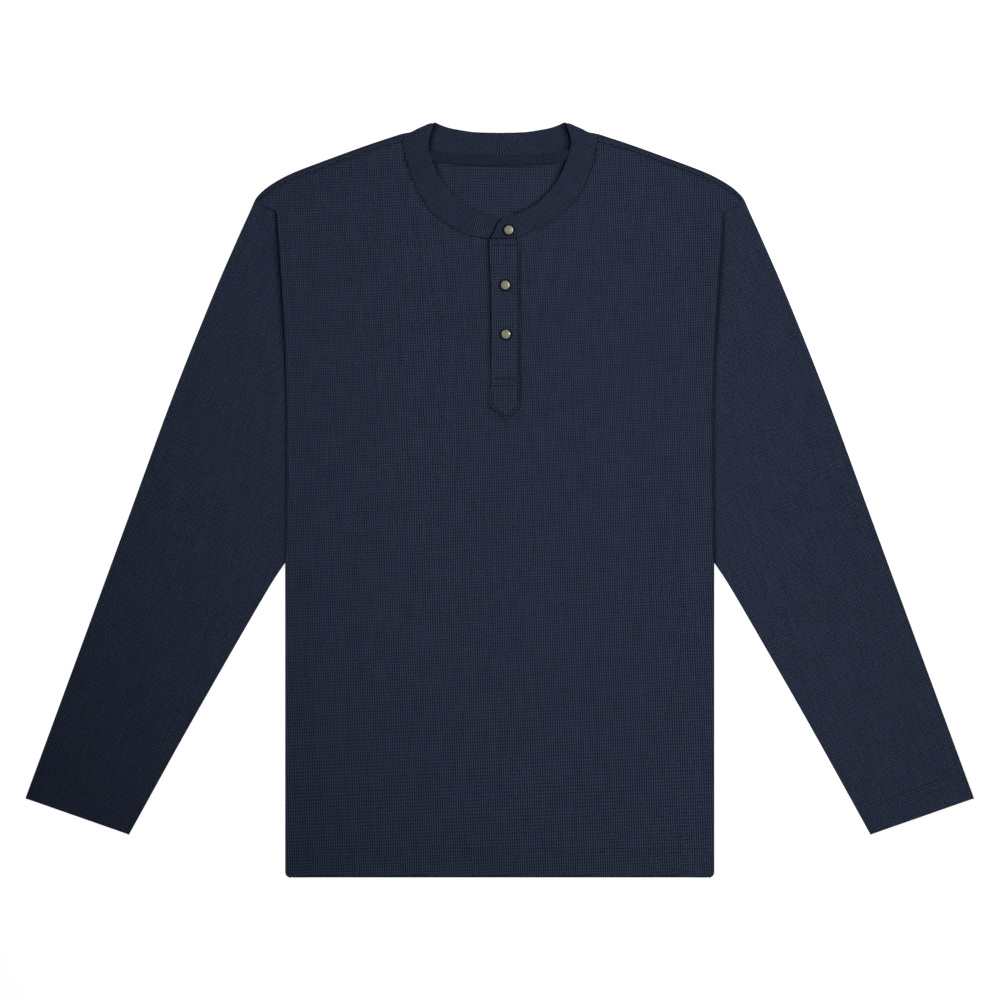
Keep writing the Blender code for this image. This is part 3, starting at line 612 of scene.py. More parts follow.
class Wall:
    """A wall of cloth: an outer face, an inner face and the round edges that join them."""

    def __init__(self, angle=0.0, pull=no_pull, shade=no_shade):
        self.pull, self.shade = pull, shade
        self.turn = np.array(((math.cos(angle), -math.sin(angle)), (math.sin(angle), math.cos(angle))))
        self.points, self.flat = np.zeros((0, 3)), np.zeros((0, 2))
        # fold holds the painted shade of each point on a folded edge
        self.partner, self.plain, self.fold = np.zeros(0, int), np.zeros(0), np.zeros(0)
        self.faces = {"outer": [], "inner": [], "edge": [], "waffle outer": [], "waffle inner": []}

    def to_cloth(self, places):
        """Places on the garment, in the cloth's own directions and unstretched, in millimetres."""
        return ((places + self.pull(places[:, 0], places[:, 1])) @ self.turn) / MM

    def from_cloth(self, places):
        there = wanted = (places @ self.turn.T) * MM
        for _ in range(4):
            there = wanted - self.pull(there[:, 0], there[:, 1])
        return there

    def add(self, points, flat=None, plain=1.0, fold=0.0):
        """New points. flat is where they lie in the cloth before it is folded; fold is the painted shade that
        they carry.
        """
        first, count = len(self.points), len(points)
        self.points = np.vstack((self.points, points))
        self.flat = np.vstack((self.flat, points[:, :2] if flat is None else flat))
        self.partner = np.append(self.partner, np.full(count, -1))
        self.plain = np.append(self.plain, np.full(count, plain))
        self.fold = np.append(self.fold, np.full(count, fold))
        return np.arange(first, first + count)

    def line(self, outer, inner, flat=None, fold=0.0):
        """A row of points with a partner each on the inner face; returns the outer numbers."""
        numbers = self.add(outer, flat, fold=fold)
        self.partner[numbers] = self.add(inner, flat, fold=fold)
        return numbers

    def level_line(self, line, outer, inner, flat=None):
        """The same from a line in plan and the heights of its two faces."""
        count = len(line)
        return self.line(np.column_stack((line, np.broadcast_to(outer, count))),
                         np.column_stack((line, np.broadcast_to(inner, count))), flat)

    def bridge(self, rows):
        """Faces between neighbouring rows, on the outer and the inner side."""
        for lower, upper in zip(rows, rows[1:]):
            for side, a, b in (("outer", lower, upper), ("inner", self.partner[lower], self.partner[upper])):
                self.faces[side] += [triangles(a[:-1], a[1:], b[1:]), triangles(a[:-1], b[1:], b[:-1])]

    def roll(self, start, out, width, foot, steps, last=None):
        """Rows that turn a row of points over a fold, down or up to the height foot."""
        place, flat = self.points[start], self.flat[start]
        middle, half = (place[:, 2] + foot) / 2, (place[:, 2] - foot) / 2
        inner_half = half - np.sign(half) * WALL
        rows = [start]
        for step in range(1, steps + (last is None)):
            a = math.pi * step / steps
            outer = np.column_stack((place[:, :2] + out * width * math.sin(a), middle + half * math.cos(a)))
            inner = np.column_stack((place[:, :2] + out * (width - WALL) * math.sin(a),
                                     middle + inner_half * math.cos(a)))
            # the rows round a fold carry painted shade
            rows.append(self.line(outer, inner, flat + out * width * a, FOLD_SHADE))
        return rows if last is None else rows + [last]

    def fill(self, side, ring, height, pit=0.0, cells=None, spacing=None, grooves=()):
        """Covers what a ring of points encloses, with waffle cells where cells says so."""
        loop = self.to_cloth(self.points[ring][:, :2])
        wale, course = WALE / MM, COURSE / MM
        low, high = loop.min(axis=0), loop.max(axis=0)
        xs = np.arange(math.floor(low[0] / wale), math.ceil(high[0] / wale) + 1) * wale
        ys = np.arange(math.floor(low[1] / course), math.ceil(high[1] / course) + 1) * course
        good = grid_inside(loop, xs, ys) & ~grid_near(loop, xs, ys, EDGE_MARGIN / MM)
        sunk = [self.sink(line, depth, height, math.copysign(1, pit)) for line, depth in grooves]
        for lines in sunk:
            middle = self.to_cloth(self.points[lines[1]][:, :2])
            good &= ~grid_near(middle, xs, ys, (COURSE / 2 + 0.15 * MM) / MM, closed=False)
        cell = good[:-1, :-1] & good[1:, :-1] & good[:-1, 1:] & good[1:, 1:]
        middle_x, middle_y = np.meshgrid(xs[:-1] + wale / 2, ys[:-1] + course / 2)
        if cells is None:
            cell[:] = False
        else:
            there = self.from_cloth(np.column_stack((middle_x.ravel(), middle_y.ravel())))
            cell &= cells(there[:, 0], there[:, 1]).reshape(cell.shape)
        used = np.zeros(good.shape, bool)
        for rows in (slice(None, -1), slice(1, None)):
            for columns in (slice(None, -1), slice(1, None)):
                used[rows, columns] |= cell
        node_x, node_y = np.meshgrid(xs, ys)
        number = np.full(good.shape, -1)
        number[used] = self.raise_points(node_x[used], node_y[used], height, 0.0)
        centre = self.raise_points(middle_x[cell], middle_y[cell], height, pit)
        a, b = number[:-1, :-1][cell], number[:-1, 1:][cell]
        c, d = number[1:, 1:][cell], number[1:, :-1][cell]
        for first, second in ((a, b), (b, c), (c, d), (d, a)):
            self.faces["waffle " + side].append(triangles(first, second, centre))
        self.fill_border(side, ring, loop, xs, ys, cell, number, height, spacing, sunk)

    def raise_points(self, x, y, height, pit):
        """Points at places in the cloth's own directions, in millimetres."""
        there = self.from_cloth(np.stack((x, y), axis=1))
        z = height(there[:, 0], there[:, 1]) + pit
        return self.add(np.column_stack((there, z)), plain=0.0)

    def sink(self, line, depth, height, down):
        """Three lines of points for a row of stitches: its bottom and both of its brinks."""
        line = spaced(line, GROOVE_STEP)
        ends = np.minimum(along(line), along(line)[-1] - along(line))
        depth = down * depth * ease(ends / (3 * MM))
        lines = []
        for place, dent in ((shifted(line, GROOVE_HALF), 0), (line, depth), (shifted(line, -GROOVE_HALF), 0)):
            lines.append(self.add(np.column_stack((place, height(place[:, 0], place[:, 1]) + dent))))
        return lines

    def fill_border(self, side, ring, loop, xs, ys, cell, number, height, spacing, sunk):
        """Plain faces between the ring and the waffle cells."""
        pad = np.pad(cell, 1)
        flat = np.argwhere(pad[1:, 1:-1] ^ pad[:-1, 1:-1])
        upright = np.argwhere(pad[1:-1, 1:] ^ pad[1:-1, :-1])
        pairs = [(number[j, i], number[j, i + 1]) for j, i in flat]
        pairs += [(number[j, i], number[j + 1, i]) for j, i in upright]
        grooves = [line for lines in sunk for line in lines]
        known = [ring, np.unique(np.array(pairs, int).reshape(-1))]
        if spacing is not None:
            known.append(self.sparse(loop, cell, xs, ys, height, spacing / MM))
        known = np.concatenate(known + grooves)
        places = self.to_cloth(self.points[known][:, :2])
        order = {n: k for k, n in enumerate(known)}
        pairs = [*zip(ring, np.roll(ring, -1)), *pairs]
        pairs += [pair for line in grooves for pair in zip(line, line[1:])]
        edges = [(order[a], order[b]) for a, b in pairs]
        made = geometry.delaunay_2d_cdt([Vector(p) for p in places], edges, [], 1, 1e-5)
        origin = np.array([known[source[0]] for source in made[3]])
        faces = np.array(made[2])
        centre = np.array([tuple(v) for v in made[0]])[faces].mean(axis=1)
        i, j = (np.clip(index, 0, most - 1)
                for index, most in zip(grid_cell(centre, xs, ys), cell.shape[::-1]))
        self.faces[side].append(origin[faces[~cell[j, i]]])

    def sparse(self, loop, cell, xs, ys, height, spacing):
        """A few points far apart, for a plain face to follow its height."""
        low, high = loop.min(axis=0), loop.max(axis=0)
        wide = np.arange(low[0] + spacing / 2, high[0], spacing)
        tall = np.arange(low[1] + spacing / 2, high[1], spacing)
        good = grid_inside(loop, wide, tall) & ~grid_near(loop, wide, tall, 0.4 * spacing)
        x, y = (grid[good] for grid in np.meshgrid(wide, tall))
        busy = np.pad(cell, 2)
        i, j = (index + 2 for index in grid_cell(np.column_stack((x, y)), xs, ys))
        free = np.ones(len(x), bool)
        for right in (-1, 0, 1):
            for up in (-1, 0, 1):
                free &= ~busy[np.clip(j + up, 0, busy.shape[0] - 1), np.clip(i + right, 0, busy.shape[1] - 1)]
        return self.raise_points(x[free], y[free], height, 0.0)

    def close(self):
        """Half-round edges wherever the outer face ends, down to the inner one."""
        outer = np.concatenate(self.faces["outer"] + self.faces["waffle outer"])
        edges = np.concatenate((outer[:, [0, 1]], outer[:, [1, 2]], outer[:, [2, 0]]))
        opposite = np.concatenate((outer[:, 2], outer[:, 0], outer[:, 1]))
        ends = np.sort(edges, axis=1)
        _, first, count = np.unique(ends[:, 0] * len(self.points) + ends[:, 1],
                                    return_index=True, return_counts=True)
        rim, opposite = edges[first[count == 1]], opposite[first[count == 1]]
        a, b = self.points[rim[:, 0]], self.points[rim[:, 1]]
        run = unit(b - a)
        way = (a + b) / 2 - self.points[opposite]
        way = unit(way - run * (way * run).sum(axis=1)[:, None])
        out = np.zeros((len(self.points), 3))
        np.add.at(out, rim[:, 0], way)
        np.add.at(out, rim[:, 1], way)
        corners = np.unique(rim)
        upper, lower = self.points[corners], self.points[self.partner[corners]]
        middle, half = (upper + lower) / 2, (upper - lower) / 2
        across, out = unit(half), out[corners]
        out = unit(out - across * (out * across).sum(axis=1)[:, None])
        radius = np.linalg.norm(half, axis=1)[:, None]
        rows = [np.arange(len(self.points))]
        partner = self.partner
        for a in np.radians((45, 90, 135)):
            row = np.zeros(len(partner), int)
            around = middle + half * math.cos(a) + out * radius * math.sin(a)
            row[corners] = self.add(around, self.flat[corners])
            rows.append(row)
        rows.append(partner)
        for upper, lower in zip(rows, rows[1:]):
            a, b, c, d = upper[rim[:, 0]], upper[rim[:, 1]], lower[rim[:, 1]], lower[rim[:, 0]]
            self.faces["edge"] += [triangles(a, b, c), triangles(a, c, d)]

    def build(self, name, finish, side=1):
        """The finished object. side -1 gives its mirror image."""
        self.close()
        faces = np.concatenate([part for parts in self.faces.values() for part in parts])
        curved = np.concatenate([np.full(len(part), not kind.startswith("waffle"))
                                 for kind, parts in self.faces.items() for part in parts])
        mesh = bpy.data.meshes.new(name)
        mesh.vertices.add(len(self.points))
        mesh.vertices.foreach_set("co", (self.points * (side, 1, 1)).astype(np.float32).ravel())
        mesh.loops.add(len(faces) * 3)
        mesh.loops.foreach_set("vertex_index", faces.astype(np.int32).ravel())
        mesh.polygons.add(len(faces))
        mesh.polygons.foreach_set("loop_start", np.arange(0, len(faces) * 3, 3, dtype=np.int32))
        mesh.polygons.foreach_set("use_smooth", curved)
        cloth = (self.to_cloth(self.flat) * MM / (WALE, COURSE)).astype(np.float32)
        mesh.uv_layers.new(name="knit").data.foreach_set("uv", cloth[faces.ravel()].ravel())
        # painted shade: the darkest of the shade beside lines and the shade on folds, kept as the shade
        # attribute
        dark = np.maximum(self.shade(*self.points.T), self.fold)
        for key, values in (("plain", self.plain), ("shade", dark)):
            mesh.attributes.new(key, "FLOAT", "POINT").data.foreach_set("value", values.astype(np.float32))
        mesh.update(calc_edges=True)
        mesh.validate()
        shell = bmesh.new()
        shell.from_mesh(mesh)
        loose = [point for point in shell.verts if not point.link_faces]
        bmesh.ops.delete(shell, geom=loose, context="VERTS")
        bmesh.ops.recalc_face_normals(shell, faces=shell.faces)
        if shell.calc_volume(signed=True) < 0:
            bmesh.ops.reverse_faces(shell, faces=shell.faces)
        shell.to_mesh(mesh)
        shell.free()
        return link(name, mesh, finish)


def link(name, mesh, finish):
    mesh.materials.append(finish)
    made = bpy.data.objects.new(name, mesh)
    bpy.context.scene.collection.objects.link(made)
    return made


# ---- outlines
def body_runs(half, middle=()):
    """A body panel from its hem up the +X side, through the middle and down the other side."""
    hem = spaced(((-HALF_WIDTH + HEM_CORNER, HEM_Y), (HALF_WIDTH - HEM_CORNER, HEM_Y)))
    return [("edge", hem), *half, *middle, *((kind, mirrored(points)) for kind, points in reversed(half))]


def join_runs(runs, widths):
    """One closed loop from its runs, the loop moved in by each run's width, and where each run lies."""
    points, distances, places = [], [], []
    for kind, run in runs:
        keep = np.append(True, np.linalg.norm(np.diff(run, axis=0), axis=1) > 0.2 * MM)
        keep[-1] = True
        run = np.asarray(run)[keep][:-1]
        places.append((kind, len(points), len(points) + len(run)))
        points += list(run)
        distances += [widths[kind]] * len(run)
    points = np.array(points)
    return points, inset(points, np.array(distances)), places


def folds(edge, limit, places):
    """For each folded run, the numbers of its points and their ways out of the loop."""
    for kind, first, last in places:
        if kind == "fold":
            picks = np.append(np.arange(first, last), last % len(edge))
            yield picks, unit(edge[picks] - limit[picks])


def front_outline():
    """Plan of the front, anticlockwise from the hem."""
    seam_edge = shifted(curve(SHOULDER_SEAM), -SEAM_LAP)
    neck_left, neck_right = curve(NECK_SEAM_LEFT), curve(NECK_SEAM_RIGHT)
    armhole, upper = curve(ARMHOLE_SEAM_LINE), curve(SIDE_FOLD_LINE)
    corner = hem_corner()
    straight = spaced(((HALF_WIDTH, HEM_Y + HEM_CORNER), upper[0]))
    half = [
        ("fold", np.vstack((corner, straight[1:-1], spaced(upper)))),
        ("edge", spaced(armhole)),
        ("edge", spaced(np.vstack((armhole[-1], seam_edge[::-1])))),
    ]
    notch = np.array(((NOTCH_RIGHT, neck_left[0][1]), (NOTCH_RIGHT, NOTCH_FOOT),
                      (NOTCH_LEFT, NOTCH_FOOT), (NOTCH_LEFT, neck_right[0][1])))
    left, right = (spaced(np.vstack((seam_edge[0], neck[::-1]))) for neck in (neck_left, neck_right))
    middle = [left, *(spaced(notch[k:k + 2]) for k in range(3)), mirrored(right)]
    return body_runs(half, [("edge", line) for line in middle])


def back_outline():
    """Plan of the back, anticlockwise from the hem; its shoulders are folds."""
    fold, armhole, corner = curve(SHOULDER), curve(ARMHOLE)[::-1], hem_corner()
    side_top = np.array((HALF_WIDTH, UNDERARM_Y - 9 * MM))
    return body_runs([
        ("edge", corner),
        ("edge", spaced((corner[-1], side_top))),
        ("edge", spaced((side_top, armhole[0]))),
        ("edge", spaced(np.vstack((armhole[:-1], fold[-1])))),
        ("fold", spaced(fold[::-1])),
        ("edge", spaced(np.vstack((fold[0], curve(BACK_NECK_SEAM))))),
    ])


def sleeve_outline():
    """Plan of the wearer's left sleeve, anticlockwise from the inner corner of the cuff."""
    outer, inner = curve(SLEEVE_OUTER)[::-1], curve(SLEEVE_INNER)
    return [("edge", spaced((inner[-1], outer[0]))), ("fold", spaced(outer)),
            ("edge", spaced(curve(ARMHOLE))), ("fold", spaced(inner))]


# ---- rows of stitches
def hem_grooves():
    """The two rows of stitches along the body's hem, each a line and its depth."""
    half = HALF_WIDTH - 6 * MM
    return [(np.array(((-half, HEM_Y + up), (half, HEM_Y + up))), HEM_GROOVE) for up in HEM_STITCHES]


def seam_grooves():
    """The rows beside the front's shoulder seams and its neck seam."""
    shoulder = shifted(curve(SHOULDER_SEAM), -SEAM_STITCH)[5:-4]
    left = shifted(curve(NECK_SEAM_LEFT), -NECK_STITCH)[12:-10]
    right = shifted(curve(NECK_SEAM_RIGHT), -NECK_STITCH)[16:-10]
    return [(line, SEAM_GROOVE) for line in (shoulder, shoulder * (-1, 1), left, right * (-1, 1))]


def cuff_grooves():
    """The two rows across the left sleeve, above its cuff."""
    grooves = []
    for up in HEM_STITCHES:
        ends = []
        for line, inward in ((OUTER_LINE, 1), (INNER_LINE, -1)):
            across = unit(INNER_LINE[-1] - OUTER_LINE[-1]) * inward
            ends.append(line[-1] + unit(line[-2] - line[-1]) * up + across * 4.5 * MM)
        grooves.append((np.array(ends), HEM_GROOVE))
    return grooves


def placket_grooves():
    return [(plan(line), PLACKET_GROOVE) for line in PLACKET_STITCHES]


# ---- panels
def everywhere(x, y):
    return np.full(np.shape(x), True)


def off_placket(x, y):
    """Everywhere but well under the placket."""
    return ~((x > -5 * MM) & (x < 14 * MM) & (y > 96 * MM))


def in_neck(x, y):
    """The part of the back that shows through the neck, and a little more."""
    return (np.abs(x) < 70 * MM) & (np.abs(x) < 1.2 * (y - 248 * MM)) & (y > 274 * MM)


def make_front(finish):
    """Front panel, its sides folded under in a soft roll."""
    edge, limit, places = join_runs(front_outline(), {"fold": FOLD_WIDTH, "edge": WALL / 2})
    wall = Wall(math.radians(BODY_LEAN), front_pull, front_shade)
    top = front_top(limit[:, 0], limit[:, 1])
    ring = wall.level_line(limit, top, top - WALL)
    wall.fill("outer", ring, front_top, -PIT, off_placket, grooves=hem_grooves() + seam_grooves())
    wall.fill("inner", wall.partner[ring], lambda x, y: front_top(x, y) - WALL, spacing=15 * MM)
    for picks, out in folds(edge, limit, places):
        rows = wall.roll(ring[picks], out, FOLD_WIDTH, fold_foot(limit[picks, 1]), FOLD_STEPS)
        flap = wall.points[rows[-1]]
        tuck = (FLAP - 1 * MM) * ease((flap[:, 1] - HEM_Y - 4 * MM) / (20 * MM)) + 1 * MM
        inward = np.column_stack((-out * tuck[:, None], np.zeros(len(out))))
        rise = np.array((0, 0, WALL))
        rows.append(wall.line(flap + inward, flap + inward + rise, wall.flat[rows[-1]] - inward[:, :2]))
        wall.bridge(rows)
    return wall.build("front_cloth", finish)


def make_back(finish):
    """Back panel, rolled forward over both shoulders to the seams."""
    edge, limit, places = join_runs(back_outline(), {"fold": SHOULDER_RADIUS, "edge": WALL / 2})
    wall = Wall(math.radians(BACK_LEAN), shade=inside_shade)
    ring = wall.level_line(limit, back_under(limit[:, 0], limit[:, 1]), WALL)
    wall.fill("outer", ring, back_under, PIT, everywhere, grooves=hem_grooves())
    wall.fill("inner", wall.partner[ring], level(WALL), -PIT, in_neck, spacing=30 * MM)
    seam_edge = shifted(curve(SHOULDER_SEAM), SEAM_LAP + WALL / 2)
    for picks, out in folds(edge, limit, places):
        rows = wall.roll(ring[picks], out, SHOULDER_RADIUS, EDGE_TOP, SHOULDER_STEPS)
        target = even(seam_edge[::-1], len(picks))
        if edge[picks[0]][0] < 0:
            target = even(seam_edge, len(picks)) * (-1, 1)
        flat_end = wall.points[rows[-1]]
        way = target - flat_end[:, :2]
        for share in (0.5, 1.0):
            outer = flat_end + np.column_stack((way * share, np.zeros(len(way))))
            rows.append(wall.line(outer, outer - (0, 0, WALL), wall.flat[rows[-1]] - way * 0.5))
        wall.bridge(rows)
    return wall.build("back_cloth", finish)


def tuck_under(edge, limit, places):
    """How far each point of the sleeve's upper layer runs on under the front, at the armhole seam."""
    _, first, last = places[2]
    move = np.zeros(limit.shape)
    spots = edge[first:last]
    near_tip = np.linalg.norm(spots - plan(ARMHOLE)[0], axis=1)
    reach = 3.5 * MM * ease((near_tip - 2 * MM) / (6 * MM)) * ease((spots[:, 1] - 262 * MM) / (12 * MM))
    move[first:last] = unit(spots - limit[first:last]) * reach[:, None]
    return move


def make_sleeve(name, side, finish):
    """Sleeve: a flattened tube, folded along both sides, open at both ends."""
    edge, limit, places = join_runs(sleeve_outline(), {"fold": FOLD_WIDTH, "edge": WALL / 2})
    wall = Wall(math.atan2(SLEEVE_WAY[1], SLEEVE_WAY[0]) - math.pi / 2, sleeve_pull, sleeve_shade)
    top = sleeve_top(side * limit[:, 0], limit[:, 1])
    upper = wall.level_line(limit + tuck_under(edge, limit, places), top, top - WALL)
    lower = wall.level_line(limit, 0.0, WALL)
    wall.fill("outer", upper, lambda x, y: sleeve_top(side * x, y), -PIT, everywhere, grooves=cuff_grooves())
    wall.fill("outer", lower, lambda x, y: sleeve_under(side * x, y), PIT, everywhere, grooves=cuff_grooves())
    wall.fill("inner", wall.partner[upper], lambda x, y: sleeve_top(side * x, y) - WALL, spacing=11 * MM)
    wall.fill("inner", wall.partner[lower], level(WALL), spacing=30 * MM)
    for picks, out in folds(edge, limit, places):
        wall.bridge(wall.roll(upper[picks], out, FOLD_WIDTH, 0.0, FOLD_STEPS, lower[picks]))
    return wall.build(name, finish, side)


# ---- collar
def half_band(seam_table, rows_table, end, end_top, side):
    """One front half of the collar, from its end to its peak: seam, edge and the way out."""
    seam = smooth(np.vstack((plan(seam_table), plan(COLLAR_PEAK_AXIS)[:1])))
    edge = smooth(np.array(rows_table) * MM)
    seam_end, edge_end = (smooth(plan(line), CURVE_STEPS)[:-1] * (side, 1) for line in end)
    tops = np.full((len(seam_end), 2), end_top)
    low, high = np.vstack((seam_end, seam)), np.vstack((edge_end, edge[:, :2]))
    tops = np.vstack((tops, edge[:, 2:]))
    up = np.tile((0.0, 0.0, 1.0), (len(low), 1))
    return np.column_stack((low * (side, 1), tops[:, 0])), np.column_stack((high * (side, 1), tops[:, 1])), up


def peak_band(side):
    """The fold at a collar peak, from the upper layer round to the lower one."""
    turns = np.linspace(0, math.pi, CURVE_STEPS + 1)[1:-1]
    out = np.outer(np.sin(turns), COLLAR_PEAK_OUT)
    seam, edge = (
        np.column_stack(((spot + out * top / 2 * MM) * (side, 1), top / 2 * MM * (1 + np.cos(turns))))
        for spot, top in zip(plan(COLLAR_PEAK_AXIS), COLLAR_LEFT[-1][2:]))
    return seam, edge, np.column_stack((out * (side, 1), np.cos(turns)))


def back_band():
    """Back half of the collar, inner face up, from the +X peak to the -X one."""
    seam = smooth(np.vstack((plan(COLLAR_PEAK_AXIS)[0], curve(BACK_NECK_SEAM)[8::8])))
    seam, edge = (np.vstack((line, line[-2::-1] * (-1, 1))) for line in (seam, curve(COLLAR_BACK_EDGE)))
    flat, down = np.zeros(len(seam)), np.tile((0.0, 0.0, -1.0), (len(seam), 1))
    return np.column_stack((seam, flat)), np.column_stack((edge, flat)), down


def collar_bends(place):
    """The small bends along the folds at the peaks and along the over end."""
    x, y, z = np.abs(place[:, 0]), place[:, 1], place[:, 2]
    sag = PEAK_SAG * np.exp(-((x - 87 * MM) / (5.5 * MM)) ** 2) * ease((y - 345 * MM) / (14 * MM))
    rise = PEAK_RISE * np.exp(-((x - 69 * MM) / (4 * MM)) ** 2) * ease((y - 358 * MM) / (8 * MM))
    line = plan(COLLAR_END_OVER_LINE)
    foot = line[0]
    reach = np.linalg.norm(line[-1] - foot)
    way = (line[-1] - foot) / reach
    across = np.array((-way[1], way[0]))
    lengthwise, away = (place[:, :2] - foot) @ way, (place[:, :2] - foot) @ across
    bow = np.interp(lengthwise, (line - foot) @ way, (line - foot) @ across)
    bow = bow * np.exp(-(away / (7 * MM)) ** 2) * (z > COLLAR_END_TOP - 0.2 * MM)
    bow = bow * ((lengthwise > 0) & (lengthwise < reach))
    return np.column_stack((across[0] * bow, sag + rise + across[1] * bow, np.zeros(len(x))))


def make_collar(finish):
    """Rib collar: one doubled band round the neck, every rib raised on both of its faces."""
    left = half_band(NECK_SEAM_LEFT, COLLAR_LEFT, COLLAR_END_OVER, COLLAR_END_TOP, 1)
    right = half_band(NECK_SEAM_RIGHT, COLLAR_RIGHT, COLLAR_END_UNDER, COLLAR_RIGHT[0][2] * MM, -1)
    past = [[part[::-1] for part in parts] for parts in (peak_band(-1), right)]
    seam, edge, out = (np.vstack(parts) for parts in zip(left, peak_band(1), back_band(), *past))
    middle = (seam + edge) / 2
    way = np.append(0, np.cumsum(np.linalg.norm(np.diff(middle, axis=0), axis=1)))
    count = int(round((way[-1] - BAND_WALL) / (RIB / RIB_POINTS))) + 1
    wanted = np.linspace(BAND_WALL / 2, way[-1] - BAND_WALL / 2, count)
    seam, edge, out = (sampled(lines, way, wanted) for lines in (seam, edge, out))
    out = unit(out)
    groove = RIB_DEPTH * np.abs(np.cos(math.pi * (np.arange(count) / RIB_POINTS % 1))) ** 3
    width = np.linalg.norm(edge - seam, axis=1)[:, None]
    margin = BAND_WALL / 2 / width
    wall = Wall(shade=collar_shade)
    columns = []
    for u in np.linspace(0, 1, BAND_COLUMNS):
        across = margin + (1 - 2 * margin) * u
        place = seam + (edge - seam) * across
        place = place + collar_bends(place)
        soft = (0.25 * MM * (2 * u - 1) ** 4 + groove)[:, None]
        flat = np.column_stack((np.arange(count) * RIB / RIB_POINTS, across[:, 0] * width[:, 0]))
        columns.append(wall.line(place - out * soft, place - out * (BAND_WALL - soft), flat))
    wall.bridge(columns)
    return wall.build("collar_band", finish)


def back_neck_line(half_length):
    """The back neck seam from side to side, as far as a half length reaches."""
    line = smooth(plan(BACK_NECK_SEAM)[::-1])
    line = line[line[:, 0] <= half_length]
    return np.vstack((mirrored(line)[:-1], line))


def make_tape(finish):
    """Tape over the seam of the back neck, half on the collar and half on the back."""
    line = spaced(back_neck_line(TAPE_HALF_LENGTH), 1.5 * MM)
    on_collar, on_back = (under + GAP + TAPE_WALL for under in (BAND_WALL, BACK_WALL))
    wall = Wall()
    rows = []
    reach = TAPE_HALF_WIDTH - TAPE_WALL / 2
    for offset in np.linspace(reach, -reach, TAPE_ROWS):
        height = on_collar + (on_back - on_collar) * ease((-offset + 0.5 * MM) / (2.5 * MM))
        near = (math.exp(-((offset - row) / (0.5 * MM)) ** 2) for row in (-TAPE_STITCH, TAPE_STITCH))
        dent = TAPE_DENT * sum(near)
        flat = np.column_stack((along(line), np.full(len(line), offset)))
        rows.append(wall.level_line(shifted(line, offset), height - dent, height - TAPE_WALL, flat))
    wall.bridge(rows)
    return wall.build("neck_tape_cloth", finish)


# ---- placket
def make_placket_upper(finish):
    """Upper placket with its pointed tail."""
    rows = np.array(PLACKET) * MM
    left, right = rows[:, [1, 0]], rows[::-1, [2, 0]]
    loop = spaced(np.vstack((left, right, left[:1])), 1.2 * MM)
    for corner in (left[0], right[-1]):
        loop[np.argmin(np.linalg.norm(loop - corner, axis=1))] = corner
    loop = inset(loop[:-1], np.full(len(loop) - 1, PLACKET_WALL / 2))
    wall = Wall(shade=placket_shade)
    under = PLACKET_TOP - PLACKET_WALL
    ring = wall.level_line(loop, placket_top(loop[:, 0], loop[:, 1]), under)
    wall.fill("outer", ring, placket_top, -PIT, everywhere, grooves=placket_grooves())
    wall.fill("inner", wall.partner[ring], level(under), spacing=9 * MM)
    return wall.build("placket_upper_cloth", finish)


def make_placket_under(finish):
    """Button stand, in the notch of the front."""
    low, high = NOTCH_FOOT + GAP + WALL / 2, PLACKET_HEAD - WALL / 2
    left, right = NOTCH_LEFT + GAP + WALL / 2, NOTCH_RIGHT - GAP - WALL / 2
    corners = ((left, low), (right, low), (right, high), (left, high), (left, low))
    loop = np.vstack([spaced(corners[k:k + 2], 3 * MM)[:-1] for k in range(4)])
    wall = Wall()
    ring = wall.level_line(loop, PANEL_TOP, PANEL_TOP - WALL)
    wall.fill("outer", ring, level(PANEL_TOP), -PIT, everywhere)
    wall.fill("inner", wall.partner[ring], level(PANEL_TOP - WALL), spacing=9 * MM)
    return wall.build("placket_under_cloth", finish)


# ---- snaps
def pick_faces(piece, test):
    """Selects the faces whose centre and normal pass the test, in edit mode."""
    bpy.ops.mesh.select_mode(type="FACE")
    bpy.ops.mesh.select_all(action="DESELECT")
    mesh = bmesh.from_edit_mesh(piece.data)
    for face in mesh.faces:
        face.select = test(face.calc_center_median(), face.normal)
    bmesh.update_edit_mesh(piece.data)


def start_cylinder(radius, depth, low):
    """A plain cylinder that stands at a height, in edit mode."""
    bpy.ops.object.select_all(action="DESELECT")
    bpy.ops.mesh.primitive_cylinder_add(vertices=SNAP_SIDES, radius=radius, depth=depth, end_fill_type="NGON",
                                        location=(0, 0, low + depth / 2))
    bpy.ops.object.transform_apply(location=True, rotation=False, scale=False)
    bpy.ops.object.mode_set(mode="EDIT")
    return bpy.context.object


def model_snap_rim(finish):
    """Dark metal ring of a snap, turned in at its top round the cap."""
    rim = start_cylinder(SNAP_RADIUS, SNAP_RIM_TOP, 0)
    pick_faces(rim, lambda centre, normal: normal.z > 0.5)
    bpy.ops.mesh.inset(thickness=SNAP_RADIUS - SNAP_CAP_RADIUS)
    bpy.ops.mesh.extrude_region_move(TRANSFORM_OT_translate={"value": (0, 0, -0.5 * MM)})
    bpy.ops.object.mode_set(mode="OBJECT")
    bevel = rim.modifiers.new("edges", "BEVEL")
    bevel.width, bevel.segments, bevel.limit_method = SNAP_RIM_ROUND, 4, "ANGLE"
    bpy.ops.object.modifier_apply(modifier=bevel.name)
    bpy.ops.object.shade_smooth()
    rim.data.materials.append(finish)
    return rim


def model_snap_cap(finish):
    """Pearl cap of a snap: a low dome with a rounded shoulder."""
    cap = start_cylinder(SNAP_CAP_RADIUS - 0.05 * MM, CAP_DEPTH, CAP_FOOT)
    for inset_by, rise in CAP_STEPS:
        pick_faces(cap, lambda centre, normal: normal.z > 0.9 and centre.xy.length < 0.01 * MM)
        bpy.ops.mesh.inset(thickness=inset_by * MM)
        bpy.ops.transform.translate(value=(0, 0, rise * MM))
    bpy.ops.object.mode_set(mode="OBJECT")
    bpy.ops.object.shade_smooth()
    cap.data.materials.append(finish)
    return cap


